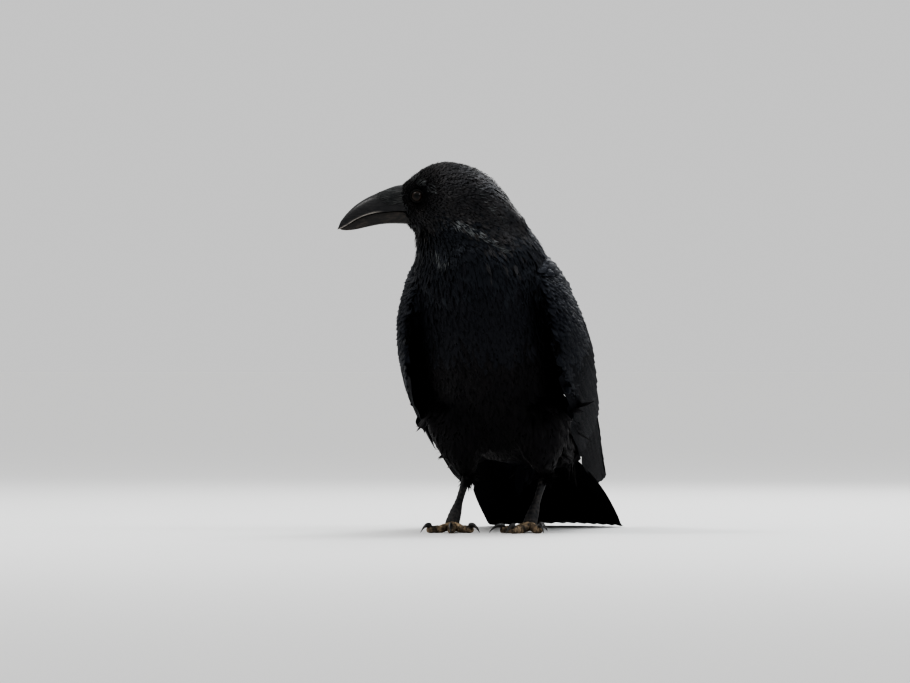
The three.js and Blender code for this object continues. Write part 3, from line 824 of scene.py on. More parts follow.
def wing_face(side, share, across, lift):
    """A point of the folded wing's face and the way out of it; across is -1 at the dorsal edge."""
    share, across, lift = np.broadcast_arrays(np.asarray(share, float), across, lift)
    t = wing_t(share)
    rows = wing_at(t)
    top, low, bulge = rows[..., :3], rows[..., 3:6], rows[..., 6]
    before, after = wing_at(t - 0.02), wing_at(t + 0.02)
    along = (after[..., :3] + after[..., 3:6]) - (before[..., :3] + before[..., 3:6])
    out = unit(np.cross(low - top, along))
    out = out * np.where(out[..., :1] < 0, -1, 1)
    swell = bulge * (1 - np.abs(across).clip(0, 1.3) ** FULLNESS) + lift
    point = top + (low - top) * ((across + 1) / 2)[..., None] + out * swell[..., None]
    width, flare = WING_POSE[side]
    x = side * (point[..., 0] * width + flare * share**3)
    return np.stack([x, point[..., 1], point[..., 2]], -1) + BIRD


def wing_frame(side, share, across, lift=0.0):
    """Points of the wing's face with the way along it, across it and out of it."""
    here = wing_face(side, share, across, lift)
    along = unit(wing_face(side, share + 0.01, across, lift) - wing_face(side, share - 0.01, across, lift))
    down = unit(wing_face(side, share, across + 0.03, lift) - wing_face(side, share, across - 0.03, lift))
    out = unit(np.cross(along, down))
    out = out * np.where((out * [side, 0, 0]).sum(-1, keepdims=True) < 0, -1, 1)
    return here, along, out


def flight_feather(coat, spine, ups, half, point, lead=0.5, thick=0.55, rows=26, cols=9, split=0.0, sag=0.1,
                   dull=1.0):
    """A long feather with a shaft and two sides: lead is the narrow side's share of the width."""
    t = np.linspace(0, 1, rows)
    at = through(np.hstack([spine, ups]))(t)
    spine, up = at[:, :3], unit(at[:, 3:])
    along = unit(np.gradient(spine, axis=0))
    side = unit(np.cross(up, along))
    length = np.linalg.norm(np.diff(spine, axis=0), axis=1).sum()
    u = np.linspace(-1, 1, cols)
    tip = np.clip(1 - np.clip((t - 0.86) / 0.14, 0, 1) ** 2.4, 0, 1) ** (0.55 * point)
    width = half * smooth_step(-0.3, 0.25, t) * (1 - 0.2 * smooth_step(0.5, 1.0, t)) * tip
    reach = np.where(u < 0, 2 * lead, 2 * (1 - lead))
    out = width[:, None] * (u * reach)[None, :]
    # Here and there the barbs part.
    gaps = np.zeros((rows, cols))
    for _ in range(int(rng.poisson(split))):
        row, edge = rng.integers(6, rows - 2), rng.choice([0, cols - 1])
        gaps[row, edge] = rng.uniform(0.1, 0.3)
    out = out * (1 - gaps)
    curl = -sag * np.abs(out) * np.abs(u)[None, :]
    rise = thick * 0.5 * (1 - 0.65 * np.abs(u)) + 0.45 * np.exp(-((u / 0.12) ** 2)) * (1 - 0.6 * t[:, None])
    slant = np.abs(out) * 0.35 * smooth_step(0.75, 1.0, t)[:, None]
    middle, back = spine[:, None] + side[:, None] * out[..., None], along[:, None] * slant[..., None]
    top, low = (middle + up[:, None] * h[..., None] - back for h in (curl + rise, curl - thick * 0.5))
    section = np.concatenate([top, low[:, ::-1], top[:, :1]], 1)
    flat = np.stack([out, np.repeat((t * length)[:, None], cols, 1)], -1)
    vane = np.concatenate([flat, flat[:, ::-1], flat[:, :1]], 1)
    coat.add(section[None], vane[None], uv_near(spine[0]), rng.random(1) ** dull)


def on_wing(side, start, end, from_across, to_across, lift, lift_end, steps=7):
    """A shaft over the wing's face and the way up from it."""
    t = np.linspace(0, 1, steps)
    share, across = mix(start, end, t), mix(from_across, to_across, t)
    here, _, out = wing_frame(side, share, across, mix(lift, lift_end, t))
    return here, out


PRIMARY_COUNT, SECONDARY_COUNT, SCAPULAR_COUNT = 8, 10, 15
# How far across the wing a primary's root and tip lie, and the share of the wing that it reaches.
PRIMARIES = through([
    [0.2, -0.5, 0.9], [0.34, -0.2, 0.97], [0.48, 0.15, 1.0],
    [0.6, 0.5, 0.97], [0.72, 0.76, 0.92], [0.86, 0.9, 0.85],
])
# Primary coverts, the alula, then the greater and the median coverts: count, start and end of the
# shaft as shares of the wing, places across, half width, how far the tips stand out.
COVERT_ROWS = [
    (9, (0.33, 0.38), (0.62, 0.6), (1.0, 0.42), 5.6, 0.6),
    (6, (0.2, 0.26), (0.45, 0.51), (1.0, 0.7), 5.8, 0.9),
    (15, (0.34, 0.29), (0.605, 0.545), (0.72, -0.9), 7.4, 0.8),
    (17, (0.27, 0.22), (0.48, 0.43), (0.84, -0.92), 6.8, 1.0),
    (19, (0.2, 0.16), (0.385, 0.34), (0.94, -0.94), 6.0, 1.1),
]
SCAPULAR_ROWS = [(0.11, 6.0), (0.125, 6.8), (0.13, 7.0), (0.125, 6.6), (0.11, 5.8)]  # length, half width


def flight_feathers(name, side):
    flights = Coat(f"flight_feathers_{name}", FLIGHT, "flight_feathers")
    for k in range(PRIMARY_COUNT):
        f = k / (PRIMARY_COUNT - 1)
        root, end, share = PRIMARIES(1 - f)
        end = min(end + 0.3 * smooth_step(0, 3, k), 0.95)
        share = share + rng.normal(0, 0.003)
        spine, ups = on_wing(side, 0.42, share, root, end, -5.0, mix(-2.2, -0.4, f))
        flight_feather(flights, spine, ups, mix(8.4, 9.6, min(1, k / 3)), lead=0.5 + 0.14 * side, point=1.5,
                       split=1.5, sag=0.14)
    for k in range(SECONDARY_COUNT):
        f = k / (SECONDARY_COUNT - 1)
        share = mix(0.85, 0.7, f**1.3) + rng.normal(0, 0.004)
        spine, ups = on_wing(side, 0.36, share, mix(0.3, -0.66, f), mix(0.06, -0.93, f), -3.8,
                             mix(-0.9, 0.9, f))
        flight_feather(flights, spine, ups, mix(11.5, 13.5, f), lead=0.5 + 0.12 * side, point=0.7, split=1.0,
                       sag=0.14)
    flights.build(f"primaries_{name}", f"secondaries_{name}")


def rows_of_coverts(name, side):
    coverts = Coat(f"wing_coverts_{name}", COVERT_COAT)
    for count, start, end, (low_at, high_at), half, rise in COVERT_ROWS:
        for k in range(count):
            f = k / (count - 1)
            at = mix(low_at, high_at, f)
            first, last = mix(*start, f), mix(*end, f) + rng.normal(0, 0.006)
            spine, ups = on_wing(side, first, last, at, at - 0.05, -3.7, rise + mix(-0.3, 0.3, f), steps=5)
            flight_feather(coverts, spine, ups, half * rng.normal(1, 0.05), lead=0.5 + 0.08 * side,
                           point=0.55, thick=0.4, rows=14, cols=7, sag=0.17, dull=mix(0.8, 2.4, first / 0.34))
    return coverts


def scapulars(name, side):
    """Scapulars fan from the shoulder over the wing's dorsal edge."""
    coverts = Coat(f"shoulder_coverts_{name}", WING_COAT)
    for row, (length, half) in enumerate(SCAPULAR_ROWS):
        for k in range(SCAPULAR_COUNT):
            f = k / (SCAPULAR_COUNT - 1)
            share = mix(-0.02, 0.36, f) + rng.normal(0, 0.008)
            at = -1.06 + 0.13 * row + rng.normal(0, 0.025)
            rise = 2.7 - 0.3 * row + mix(2.2, -0.6, smooth_step(0, 0.7, f)) + rng.normal(0, 0.15)
            end = share + length * mix(0.7, 1.15, f)
            spine, ups = on_wing(side, share, end, at, at + 0.10, -3.4, rise, steps=5)
            flight_feather(coverts, spine, ups, half * rng.normal(1, 0.08), point=0.75, thick=0.4, rows=12,
                           cols=7, split=0.6, sag=0.16, dull=1.3)
    return coverts


wing_grid, wing_tree, covert_rows, shoulder_coats = {}, {}, {}, {}
for name, side in SIDES:
    flight_feathers(name, side)
    covert_rows[side] = rows_of_coverts(name, side)
    shoulder_coats[side] = scapulars(name, side)
    # A grid over the wing's face tells which of the skin's places are on it.
    shares, places = (v.ravel() for v in np.meshgrid(np.linspace(0, 0.64, 64), np.linspace(-1, 1, 40)))
    face_points, _, outs = wing_frame(side, shares, places)
    wing_grid[side] = (face_points, shares, places, outs)
    wing_tree[side] = kd_tree(face_points)


# ---- The body's coat ----
FACE_GAP = 8.5  # the outer face's feathers grow this near to it
SINK_REACH = 20
SINKS = [(0.24, 0.34, 1.8), (0.34, 0.52, 2.7)]  # from and to along the wing, and how far its skin sinks
WING_SIDE = np.array([{"wing_left": 1, "wing_right": -1}.get(node, 0) for node in FLESH])


def nearest_on_wing(side, places):
    """How far some places are from the wing's face, and which point of its grid is nearest."""
    near = [wing_tree[side].find(p) for p in places.tolist()]
    return np.array([n[2] for n in near]), np.array([n[1] for n in near])


def on_wing_region(places, normals):
    """The side of the wing whose outer face each place is on, or 0, and where along and across it is."""
    found = np.zeros(len(places), int)
    share, across, closest = np.ones(len(places)), np.zeros(len(places)), np.full(len(places), np.inf)
    for side in (1, -1):
        _, shares, acrosses, outs = wing_grid[side]
        gap, index = nearest_on_wing(side, places)
        hit = (gap < FACE_GAP) & ((outs[index] * normals).sum(1) > 0.1)
        found[hit] = side
        nearer = gap < closest
        share[nearer] = shares[index[nearer]]
        across[nearer] = acrosses[index[nearer]]
        closest[nearer] = gap[nearer]
    return found, share, across


def wing_owner(places):
    """The side of the wing whose solid each place is nearest to, or 0 where another solid is nearer."""
    gaps = [[solid.find_nearest(p)[3] for solid in solids] for p in places.tolist()]
    return WING_SIDE[np.array(gaps).argmin(1)]


# Under the long coverts and the flight feathers the wing's skin lies deeper.
lowered = skin_points.copy()
for _, side in SIDES:
    gap, nearest = nearest_on_wing(side, skin_points)
    _, shares, _, outs = wing_grid[side]
    close = np.flatnonzero((gap < SINK_REACH) & (shares[nearest] > SINKS[0][0]))
    close = close[wing_owner(skin_points[close]) == side]
    sunk = sum(deep * smooth_step(start, end, shares[nearest[close]]) for start, end, deep in SINKS)
    lowered[close] -= outs[nearest[close]] * sunk[:, None]
baked.vertices.foreach_set("co", (lowered * MM).ravel())


def spacing(places):
    _, size, kind = body_lie(places)
    return size[:, 1] * np.array([SHAPES[k][0] for k in KINDS])[kind]


roots, index = spread(skin_points, skin_triangles, spacing)
root_normals, root_uv = body.normals[index], triangle_uv[index]
side_of, share_of, across_of = on_wing_region(roots, root_normals)
wing_of = wing_owner(roots)
way, size, _ = body_lie(roots + rng.normal(0, 2.0, roots.shape))
# One kind passes into the next over about half a feather's length.
_, _, kind = body_lie(roots + rng.normal(0, 0.45, roots.shape) * size[:, :1])
# Round the eye the feathers part and are shorter, and next to it none grow.
EYE_REACH, EYE_BARE = 16, 7.2
eye_gap = np.minimum(*(np.linalg.norm(roots - eye_place(side), axis=1) for side in (1, -1)))
for side in (1, -1):
    away = roots - eye_place(side)
    away -= np.outer(away @ HEAD_LEFT, HEAD_LEFT)
    reach = np.linalg.norm(away, axis=1, keepdims=True)
    near = (eye_gap < EYE_REACH) & (((roots - HEAD_AT) @ HEAD_LEFT) * side > 0)
    away = away / np.maximum(reach, 1e-6)
    towards = np.minimum((way * away).sum(1, keepdims=True), 0)
    pull = smooth_step(13, 8, reach) * near[:, None]
    way = way - away * towards * pull * 1.25
    size[near, 0] *= mix(0.55, 1, smooth_step(7, 15, reach[near, 0]))
print("roots", len(roots), {k: int((kind == i).sum()) for i, k in enumerate(KINDS)})

# Nothing grows where the bill is, and the belly's and the vent's feathers stay under the tail.
BILL_FROM, BILL_UNDER = 57, 3
ahead_of, up_of = (roots - HEAD_AT) @ FORWARD, (roots - HEAD_AT) @ Z
over_tail = (roots[:, 1] > 45) & (roots[:, 2] > 80 - 0.6 * (roots[:, 1] - 60))
under_kinds = np.isin(kind, [KINDS.index("belly"), KINDS.index("vent")])
usable = (eye_gap > EYE_BARE) & ~(over_tail & under_kinds)
usable &= ~((ahead_of > BILL_FROM) & (up_of < BILL_UNDER))


def lay_from(coat, chosen, ways, length, width, stand, **shape):
    """Feathers from the chosen roots of the body."""
    lay(body, coat, roots[chosen], ways, root_normals[chosen], root_uv[chosen], length, width, stand, **shape)


def chin_beard(coat, this_side, side):
    """The chin's beard hangs from the base of the bill in front of the throat."""
    chosen = this_side & (ahead_of > 37) & between(up_of, (-42, -24)) & (wing_of == 0)
    front_of = smooth_step(42, 50, ahead_of[chosen])
    ways = unit(np.outer(mix(-0.12, 0.12, front_of), FORWARD) - Z + 0.05 * side * HEAD_LEFT)
    lay_from(coat, chosen, ways, mix(15.0, 10.0, front_of), 2.2, 3.8, cols=3, rows=8, ragged=0.3, point=1.8,
             blow=0.3)


# Long feathers of the left flank, which fall over the wing's lower edge and fill the room beside it: where
# along and above the bird they grow, how far the skin faces out there, their share, way, length, width,
# stand and shape.
FLANK_FEATHERS = [
    ((14, 128), (72, 136), 0.1, 0.3, (0.3, 0.74, -0.62), 44.0, 4.6, 3.4,
     dict(cols=5, rows=9, ragged=0.3, point=1.4, blow=0.2)),
    ((-25, 75), (112, 172), 0.3, 0.35, (0.22, 0.45, -0.88), 26.0, 8.0, 4.5,
     dict(cols=5, rows=7, ragged=0.25, point=1.2, blow=0.3)),
]


def flank_feathers(coat, this_side, side):
    at = roots - BIRD
    for along, above, facing, share, way_out, length, width, stand, shape in FLANK_FEATHERS:
        chosen = usable & this_side & (wing_of == 0) & (root_normals[:, 0] * side > facing)
        chosen &= between(at[:, 1], along) & between(at[:, 2], above)
        chosen &= rng.random(len(roots)) < (share if side > 0 else 0.0)
        lay_from(coat, chosen, unit(way_out), length, width, stand, **shape)


# A piece's kinds of feather, their finish and how far they stand out, as a share of what the guides say.
PIECES = {
    "coat_head": (("face", "crown"), HEAD_COAT, 1.0),
    "coat_neck": (("hackle",), NECK_COAT, 1.0),
    "coat_breast": (("breast",), BREAST_COAT, 1.0),
    "coat_belly": (("belly", "vent"), BELLY_COAT, 0.7),
    "coat_back": (("mantle", "rump"), BACK_COAT, 1.0),
    "coat_legs": (("flank", "thigh"), BELLY_COAT, 1.0),
}
for piece, (kinds, material, standing) in PIECES.items():
    for name, side in SIDES:
        coat = Coat(f"{piece}_{name}", material)
        middle, out_of = (HEAD_AT, HEAD_LEFT) if piece == "coat_head" else (BIRD, X)
        this_side = ((roots - middle) @ out_of) * side > 0
        for k in kinds:
            chosen = usable & this_side & (kind == KINDS.index(k)) & (wing_of == 0)
            lay_from(coat, chosen, way[chosen], size[chosen, 0], size[chosen, 1], size[chosen, 2] * standing,
                     cling=k in CLINGING, **shape_of(k))
        if piece == "coat_head":
            chin_beard(coat, this_side, side)
        if piece == "coat_legs":
            flank_feathers(coat, this_side, side)
        if coat.points:
            coat.build()


# Plumes of the flank and the rump reach to the inside of the folded wing and close the room under it: where
# along and above the bird they grow, then for each side how deep they end in the wing and half their width.
PLUMES_ALONG = (52, 70, 88, 106, 124, 142, 158)
PLUMES_ABOVE = (66, 77, 88, 99, 110)
PLUME_ENDS = {1: (4.5, 11.0), -1: (8.0, 6.0)}
PLUME_REACH = (8, 74)


def flank_plumes(name, side):
    plumes = Coat(f"flank_plumes_{name}", BELLY_COAT)
    points, _, _, outs = wing_grid[side]
    depth, half = PLUME_ENDS[side]
    t = np.linspace(0, 1, 6)[:, None]
    ups = np.tile(unit([side * 0.3, -0.75, -0.5]), (6, 1))
    for y in PLUMES_ALONG:
        for z in PLUMES_ABOVE:
            place = np.array([side * 24.0, y + rng.uniform(-5, 5), z + rng.uniform(-4, 4)]) + BIRD
            (root,), (normal,), _ = body.nearest(place[None])
            _, (nearest,) = nearest_on_wing(side, (root + [0, 24, -5])[None])
            tip = points[nearest] - outs[nearest] * depth
            reach = np.linalg.norm(tip - root)
            if wing_owner(root[None])[0] or not between(reach, PLUME_REACH):
                continue
            spine = mix(root - normal * 2.0, tip, t) - Z * (0.12 * reach * np.sin(math.pi * t))
            flight_feather(plumes, spine, ups, half * rng.normal(1, 0.1), point=1.0, thick=0.35, rows=12,
                           cols=7, dull=1.6)
    plumes.build()


for name, side in SIDES:
    flank_plumes(name, side)

# Pale strands that paint the head's sheen highlights, in the head's measures: from and to ahead, from and to
# up, the way at the front and at the back [ahead, up], count, length, width.
HIGHLIGHT_STRAND_FIELDS = [
    ((46, 22), (20, 3), (-0.9, 0.4), (-0.8, -0.6), 110, 5.5, 0.55),
    ((45, 36), (16, 7), (-0.75, 0.7), (-1.0, 0.1), 40, 4.5, 0.5),
    ((54, 46), (-4, -14), (-0.6, -0.7), (-0.6, -0.7), 24, 4.5, 0.5),
    ((8, -10), (-18, -34), (-0.7, -0.7), (-0.75, -0.65), 60, 10.0, 0.7),
    ((-10, -42), (-28, -52), (-0.8, -0.6), (-0.95, -0.25), 80, 11.0, 0.7),
    ((-15, -42), (10, -28), (-1.0, -0.12), (-1.0, -0.3), 70, 8.0, 0.5),
    ((29, 10), (-44, -60), (-0.3, -1.0), (-0.25, -1.0), 46, 13.0, 1.1),
]
highlight_strands = Coat("head_highlight_strands", HIGHLIGHT_STRANDS)
for (front_a, back_a), (front_u, back_u), way_front, way_back, count, length, width in HIGHLIGHT_STRAND_FIELDS:
    for side in (1, -1):
        f = rng.random(count)
        ahead = mix(front_a, back_a, f)
        slope = 0.75 if abs(front_u - back_u) < 20 else 1.0
        up = mix(front_u, back_u, (f * slope + rng.random(count) * (1.25 - slope)).clip(0, 1))
        hits = [body.tree.ray_cast(p, -side * HEAD_LEFT)[0] for p in in_head(ahead, side * 70.0, up).tolist()]
        f = f[[hit is not None for hit in hits]]
        count = len(f)  # the head's right has as many to begin with as came to lie on its left
        spot, normal, triangle = body.nearest(np.array([hit for hit in hits if hit is not None]))
        ways = sum(np.outer(mix(way_front[i], way_back[i], f), axis) for i, axis in enumerate((FORWARD, Z)))
        lay(body, highlight_strands, spot, ways, normal, triangle_uv[triangle], length, width, 2.3, 2, 7, 0.2, 1.6,
            arch=0.0, turn=0.12, blow=0.3)
highlight_strands.build()

# The shoulder's small coverts overlap the rows behind them; on the edges and the inner face they lie close.
SHOULDER_END, ROWS_END = 0.3, 0.44  # shares of the wing
DORSAL = -0.7  # how far across the wing its dorsal edge begins
for side in (1, -1):
    shoulder, rows = shoulder_coats[side], covert_rows[side]
    outer_face, on_shoulder = side_of == side, share_of < SHOULDER_END
    for coat, chosen, longer, rise, overlap in (
        (shoulder, outer_face & on_shoulder, 1.0, 1.0, 1.0),
        (rows, ~(outer_face & on_shoulder) & (share_of < ROWS_END) & (across_of > DORSAL), 1.0, 0.1, 0.0),
        (rows, ~outer_face & on_shoulder & (across_of <= DORSAL), 0.8, 0.35, 0.0),
    ):
        chosen = chosen & (wing_of == side)
        way_w, size_w, _ = wing_lie(roots[chosen])
        lift = size_w[:, 2] * rise + (1.0 + 1.8 * smooth_step(0.22, 0.08, share_of[chosen])) * overlap
        lay_from(coat, chosen, way_w, size_w[:, 0] * longer, size_w[:, 1], lift, turn=0.05, blow=0.12,
                 **shape_of("covert"))
    shoulder.build()
    rows.build()

# ---- Tail ----
TAIL_COUNT, TAIL_COVERT_COUNT = 12, 9
TAIL = dict(root=(0, 104, 111), swing=math.radians(7), length=240, outer_shorter=32, spread=50, root_half=12,
            droop=8, laid=0.05)


def tail_height(outward):
    return TAIL["root"][2] - TAIL["droop"] * outward**2


def tail_length(outward):
    return TAIL["length"] - TAIL["outer_shorter"] * abs(outward) ** 1.7


def tail_reach(outward, length):
    return math.sqrt(length**2 - tail_height(outward) ** 2)


def tail_point(outward, length, t, lift):
    sideways = outward * (TAIL["root_half"] + TAIL["spread"] * (1 - (1 - t) ** 3))
    level = 1.6 + tail_height(outward) * np.maximum(0, 1 - t / (1 - TAIL["laid"]))
    y = t * tail_reach(outward, length)
    c, s = math.cos(-TAIL["swing"]), math.sin(-TAIL["swing"])
    x, y = c * sideways - s * y, s * sideways + c * y
    return np.stack([x + TAIL["root"][0], y + TAIL["root"][1], level + lift], -1) + BIRD


tail = Coat("tail_feathers", FLIGHT, "flight_feathers")
for k in range(TAIL_COUNT):
    outward = k / ((TAIL_COUNT - 1) / 2) - 1
    t = np.linspace(0.1, 1, 12)
    depth = mix(0.9, -0.7, abs(outward))
    spine = tail_point(outward, tail_length(outward), t, depth)
    # Each feather is rolled to meet its neighbours, which lie a little higher where they are longer.
    reach = tail_reach(outward, tail_length(outward))
    beside = [tail_point(o, tail_length(o), t * reach / tail_reach(o, tail_length(o)), depth)
              for o in (outward + 0.09, outward - 0.09)]
    ups = unit(np.cross(beside[0] - beside[1], np.gradient(spine, axis=0)))
    ups = ups * np.where(ups[:, 2:] < 0, -1, 1)
    flight_feather(tail, spine, ups, 11.5, lead=0.5 + 0.14 * np.sign(-outward), point=0.75, thick=0.5,
                   rows=28, split=0.7, sag=0.015)
tail.build("tail")

# Two rows of coverts over the tail's root: the roots' place along and above the bird and how far across
# they reach, the tips' share of the tail and how far over it they end.
TAIL_COVERTS = [(176, 130, 22, 0.6, 5.0), (158, 140, 27, 0.48, 7.5)]
tail_coverts = Coat("tail_coverts", COVERT_COAT)
t = np.linspace(0, 1, 6)[:, None]
for y, z, reach, share, over in TAIL_COVERTS:
    for k in range(TAIL_COVERT_COUNT):
        outward = k / ((TAIL_COVERT_COUNT - 1) / 2) - 1
        (root,), (normal,), _ = body.nearest(np.array([[outward * reach, y, z]]) + BIRD)
        root = root - normal * 1.5
        end = np.array([share - 0.07 * abs(outward) + rng.normal(0, 0.008)])
        tip = tail_point(outward * 0.68, TAIL["length"], end, over + 3.5 * (1 - abs(outward)))[0]
        spine = mix(root, tip, t) + normal * 4.0 * np.sin(math.pi * t) * (1 - 0.5 * t)
        flight_feather(tail_coverts, spine, unit(mix(normal, Z, t)), 8.5 * rng.normal(1, 0.05), point=0.8,
                       thick=0.4, rows=14, cols=7, sag=0.15, dull=1.2)
tail_coverts.build()

# ---- Bill ----
# Along the bill: ahead, the height of the ridge and of the edge, half the width. The lower bill's ridge
# is its keel.
BILL_UPPER = [
    (44, 10, -15.6, 12.4), (57, 8.1, -15.4, 11), (67, 4.7, -16.4, 9.8), (76, 0.9, -17.1, 8.7),
    (86, -3.8, -19.5, 7.2), (96, -10.4, -23.8, 5.4), (104, -18, -28.8, 3.6), (110, -25.6, -32, 1.9),
]
BILL_LOWER = [
    (44, -28.2, -17.2, 11), (57, -27.6, -15.9, 10), (67, -27.8, -16.9, 8.6), (76, -28.9, -17.6, 7.4),
    (86, -31, -20, 5.8), (96, -33.2, -24.3, 4.0), (104, -34, -28.9, 2.6), (109, -33.6, -31.4, 1.2),
]


def bill(name, rows, tip, upper, material):
    at = through(rows)
    rings, rim_highlight = [], []
    # Round the outside from one edge over the ridge to the other, closest together at the edges, then
    # the inner face.
    outer = math.pi * (0.5 - 0.5 * np.cos(math.pi * np.linspace(0, 1, 33)))
    angle = np.concatenate([outer, math.pi + math.pi * np.linspace(0, 1, 11)[1:-1]])
    s, c = np.sin(angle), np.cos(angle)
    away = s >= 0
    for t in np.linspace(0, 1, 60):
        ahead, ridge, edge, half = at(t)
        depth = abs(ridge - edge)
        # The side bellies a little and narrows to a keeled ridge; the edge is drawn to a thin lip.
        # The upper lip laps over the lower one, whose top rises into it and closes the mouth.
        wide = half * np.sign(c) * np.abs(c) ** np.where(away, 0.82, 0.9) * (1.0 if upper else 0.93)
        lip = -0.5 if upper else 0.9
        height = lip + np.where(away, np.abs(s) ** 1.05 * (depth - lip), np.abs(s) * (1.0 if upper else -2.2))
        up = edge + height if upper else edge - height
        rings.append(in_head(ahead, wide, up))
        # Next to the lip on the outer face, from the middle of the bill on, tone marks where the rim's
        # painted highlight goes.
        rim_highlight.append(smooth_step(1.7, 0.7, np.abs(height - lip)) * away * smooth_step(0.3, 0.5, t))
    rings.append(in_head(tip[0], 0.0, tip[1]) + rng.normal(0, 0.01, (len(angle), 3)))
    rim_highlight.append(rim_highlight[-1])
    points, faces = tube(rings)
    obj = mesh_object(name, points, faces, material)
    add_tone(obj, np.concatenate([*rim_highlight, [0, 0]]))
    settle(obj, "bill_horn", name)
    return obj


bill_top = bill("bill_upper", BILL_UPPER, (113.0, -33.2), True, BILL)
bill_low = bill("bill_lower", BILL_LOWER, (111.0, -32.6), False, MANDIBLE)

# Bristles lie forward over the nostrils and the base of the ridge.
front = Surface(*joined([(skin_points, skin_triangles), mesh_of(bill_top), mesh_of(bill_low)]))
bristles = Coat("nasal_bristles", BRISTLES)
n = 1100
ahead, out, up = rng.uniform(45, 57, n), rng.uniform(-1, 1, n), rng.uniform(-9, 13, n)
spot, normal, _ = front.nearest(in_head(ahead, out * 12, up))
high = (spot - HEAD_AT) @ Z
left = (spot - HEAD_AT) @ HEAD_LEFT
length = mix(17, 27, rng.random(n)) * smooth_step(-14, 0, high) * mix(1, 0.75, smooth_step(6, 12, high))
ways = FORWARD + np.outer(-0.1 - 0.25 * rng.random(n), Z) + np.outer(left * 0.004, HEAD_LEFT)
stand = mix(0.75, 0.1, smooth_step(2, 7, high))
lay(front, bristles, spot, ways, normal, uv_near(spot), length, 0.6, stand, 2, 8, 0.2, 1.6, arch=0.0,
    sink=0.2, turn=0.09, blow=0.5, cling=True)
bristles.build("nasal_tuft_left", "nasal_tuft_right")

# ---- Eyes ----
PUPIL = (0.001, 0.001, 0.001)
IRIS_DARK = (0.007, 0.004, 0.003)
IRIS_LIGHT = (0.02, 0.0105, 0.0065)
EYE_RIM = (0.004, 0.003, 0.003)


def eye_material():
    look = Finish("eye_surface")
    ring, streak = look.tone(), look.noise(look.place(), 1400.0, 3.0)
    iris = look.blend(look.ramp(streak, 0.35, 0.7), colour(IRIS_DARK), colour(IRIS_LIGHT))
    inner = look.blend(look.ramp(ring, 0.36, 0.42), colour(PUPIL), iris)
    return look.shade({
        "Base Color": look.blend(look.ramp(ring, 0.86, 0.97), inner, colour(EYE_RIM)),
        "Roughness": 0.3,
        "Specular IOR Level": 0.1,
        "Coat Weight": 0.45,
        "Coat Roughness": 0.02,
        "Coat IOR": 1.376,
    })


EYE_SURFACE = eye_material()


def around(first, second, turn):
    """Ways round a circle from one axis towards another."""
    return np.cos(turn)[:, None] * first + np.sin(turn)[:, None] * second


def eyeball(name, centre, axis):
    polar = np.linspace(0.001, math.pi - 0.001, 30)
    turn = full_turn(40)
    bulge = EYE["radius"] * (0.985 + 0.02 * np.exp(-((polar / 0.6) ** 2)))
    rings = centre + (bulge * np.cos(polar))[:, None, None] * axis
    rings = rings + (bulge * np.sin(polar))[:, None, None] * around(FORWARD, Z, turn)
    ball = mesh_object(f"eyeball_{name}", *tube(rings), EYE_SURFACE)
    add_tone(ball, np.concatenate([np.repeat(polar / 1.05, len(turn)), [0, 3]]))
    settle(ball, "eye", f"eye_{name}")


def eyelids(name, centre, axis):
    """A soft rim with a thin edge on the eye, a little drawn out to the front and back."""
    turn = full_turn(72)
    section = full_turn(12)
    reach = 5.15 + 0.32 * np.abs(np.cos(turn)) ** 3 - 0.28 * np.clip(np.sin(turn), 0, 1) ** 2
    depth = np.sqrt(EYE["radius"] ** 2 - reach**2) + 0.15
    radial = around(FORWARD, Z, turn)
    rim = (0.62 + 0.1 * np.clip(np.sin(turn), 0, 1)) * (1 + 0.06 * np.cos(turn * 24))
    ring_centre = centre + radial * (reach + 0.5)[:, None] + axis * (depth - 0.25)[:, None]
    rings = ring_centre[:, None] + rim[:, None, None] * (
        np.cos(section)[None, :, None] * radial[:, None] * 1.3 + np.sin(section)[None, :, None] * axis
    )
    rows, cols = rings.shape[:2]
    faces = grid_faces(rows + 1, cols, closed=True) % (rows * cols)
    lids = mesh_object(f"eyelids_{name}", rings.reshape(-1, 3), faces, LID)
    settle(lids, "body_plumage")


for name, side in SIDES:
    eyeball(name, eye_place(side), side * HEAD_LEFT)
    eyelids(name, eye_place(side), side * HEAD_LEFT)

# ---- Legs ----
# A leg's heel and ankle, and how far its middle toe turns from straight ahead.
LEGS = [
    ("left", 1, (47, 46, 57), (37, 15, 9), math.radians(-14)),
    ("right", -1, (-28, 46, 57), (-38, 15, 9), math.radians(8)),
]
# Toe: turn from the middle toe, length, claw length, half width, joints.
TOES = {
    1: (math.pi, 24, 20, 4.3, 2),
    2: (math.radians(-38), 31, 15, 4.1, 2),
    3: (0, 42, 16, 4.4, 3),
    4: (math.radians(40), 34, 13, 4.0, 4),
}
TARSUS = through([(5.2, 6.2), (4.0, 5.2), (3.4, 4.4), (3.7, 4.5), (5.6, 5.2), (6.6, 5.0)])
ROUND = full_turn(28)
FACING = np.clip(np.sin(ROUND), 0, 1) ** 0.6


def plates(along, count, lean=0.75):
    """The rise of overlapping plates: slow up, then a sharp drop."""
    place = (along * count) % 1.0
    return np.where(place < lean, place / lean, 1 - (place - lean) / (1 - lean))


def limb(name, centres, side_way, up_way, wide, high, material, slot, floor):
    """A tube round a line of centres, with its radii to the side and up, that stops at the floor."""
    sideways, upwards = (np.cos(ROUND) * wide)[..., None], (np.sin(ROUND) * high)[..., None]
    points, faces = tube(centres[:, None] + side_way * sideways + up_way * upwards)
    points[:, 2] = np.maximum(points[:, 2], floor)
    settle(mesh_object(name, points, faces, material), slot, name)


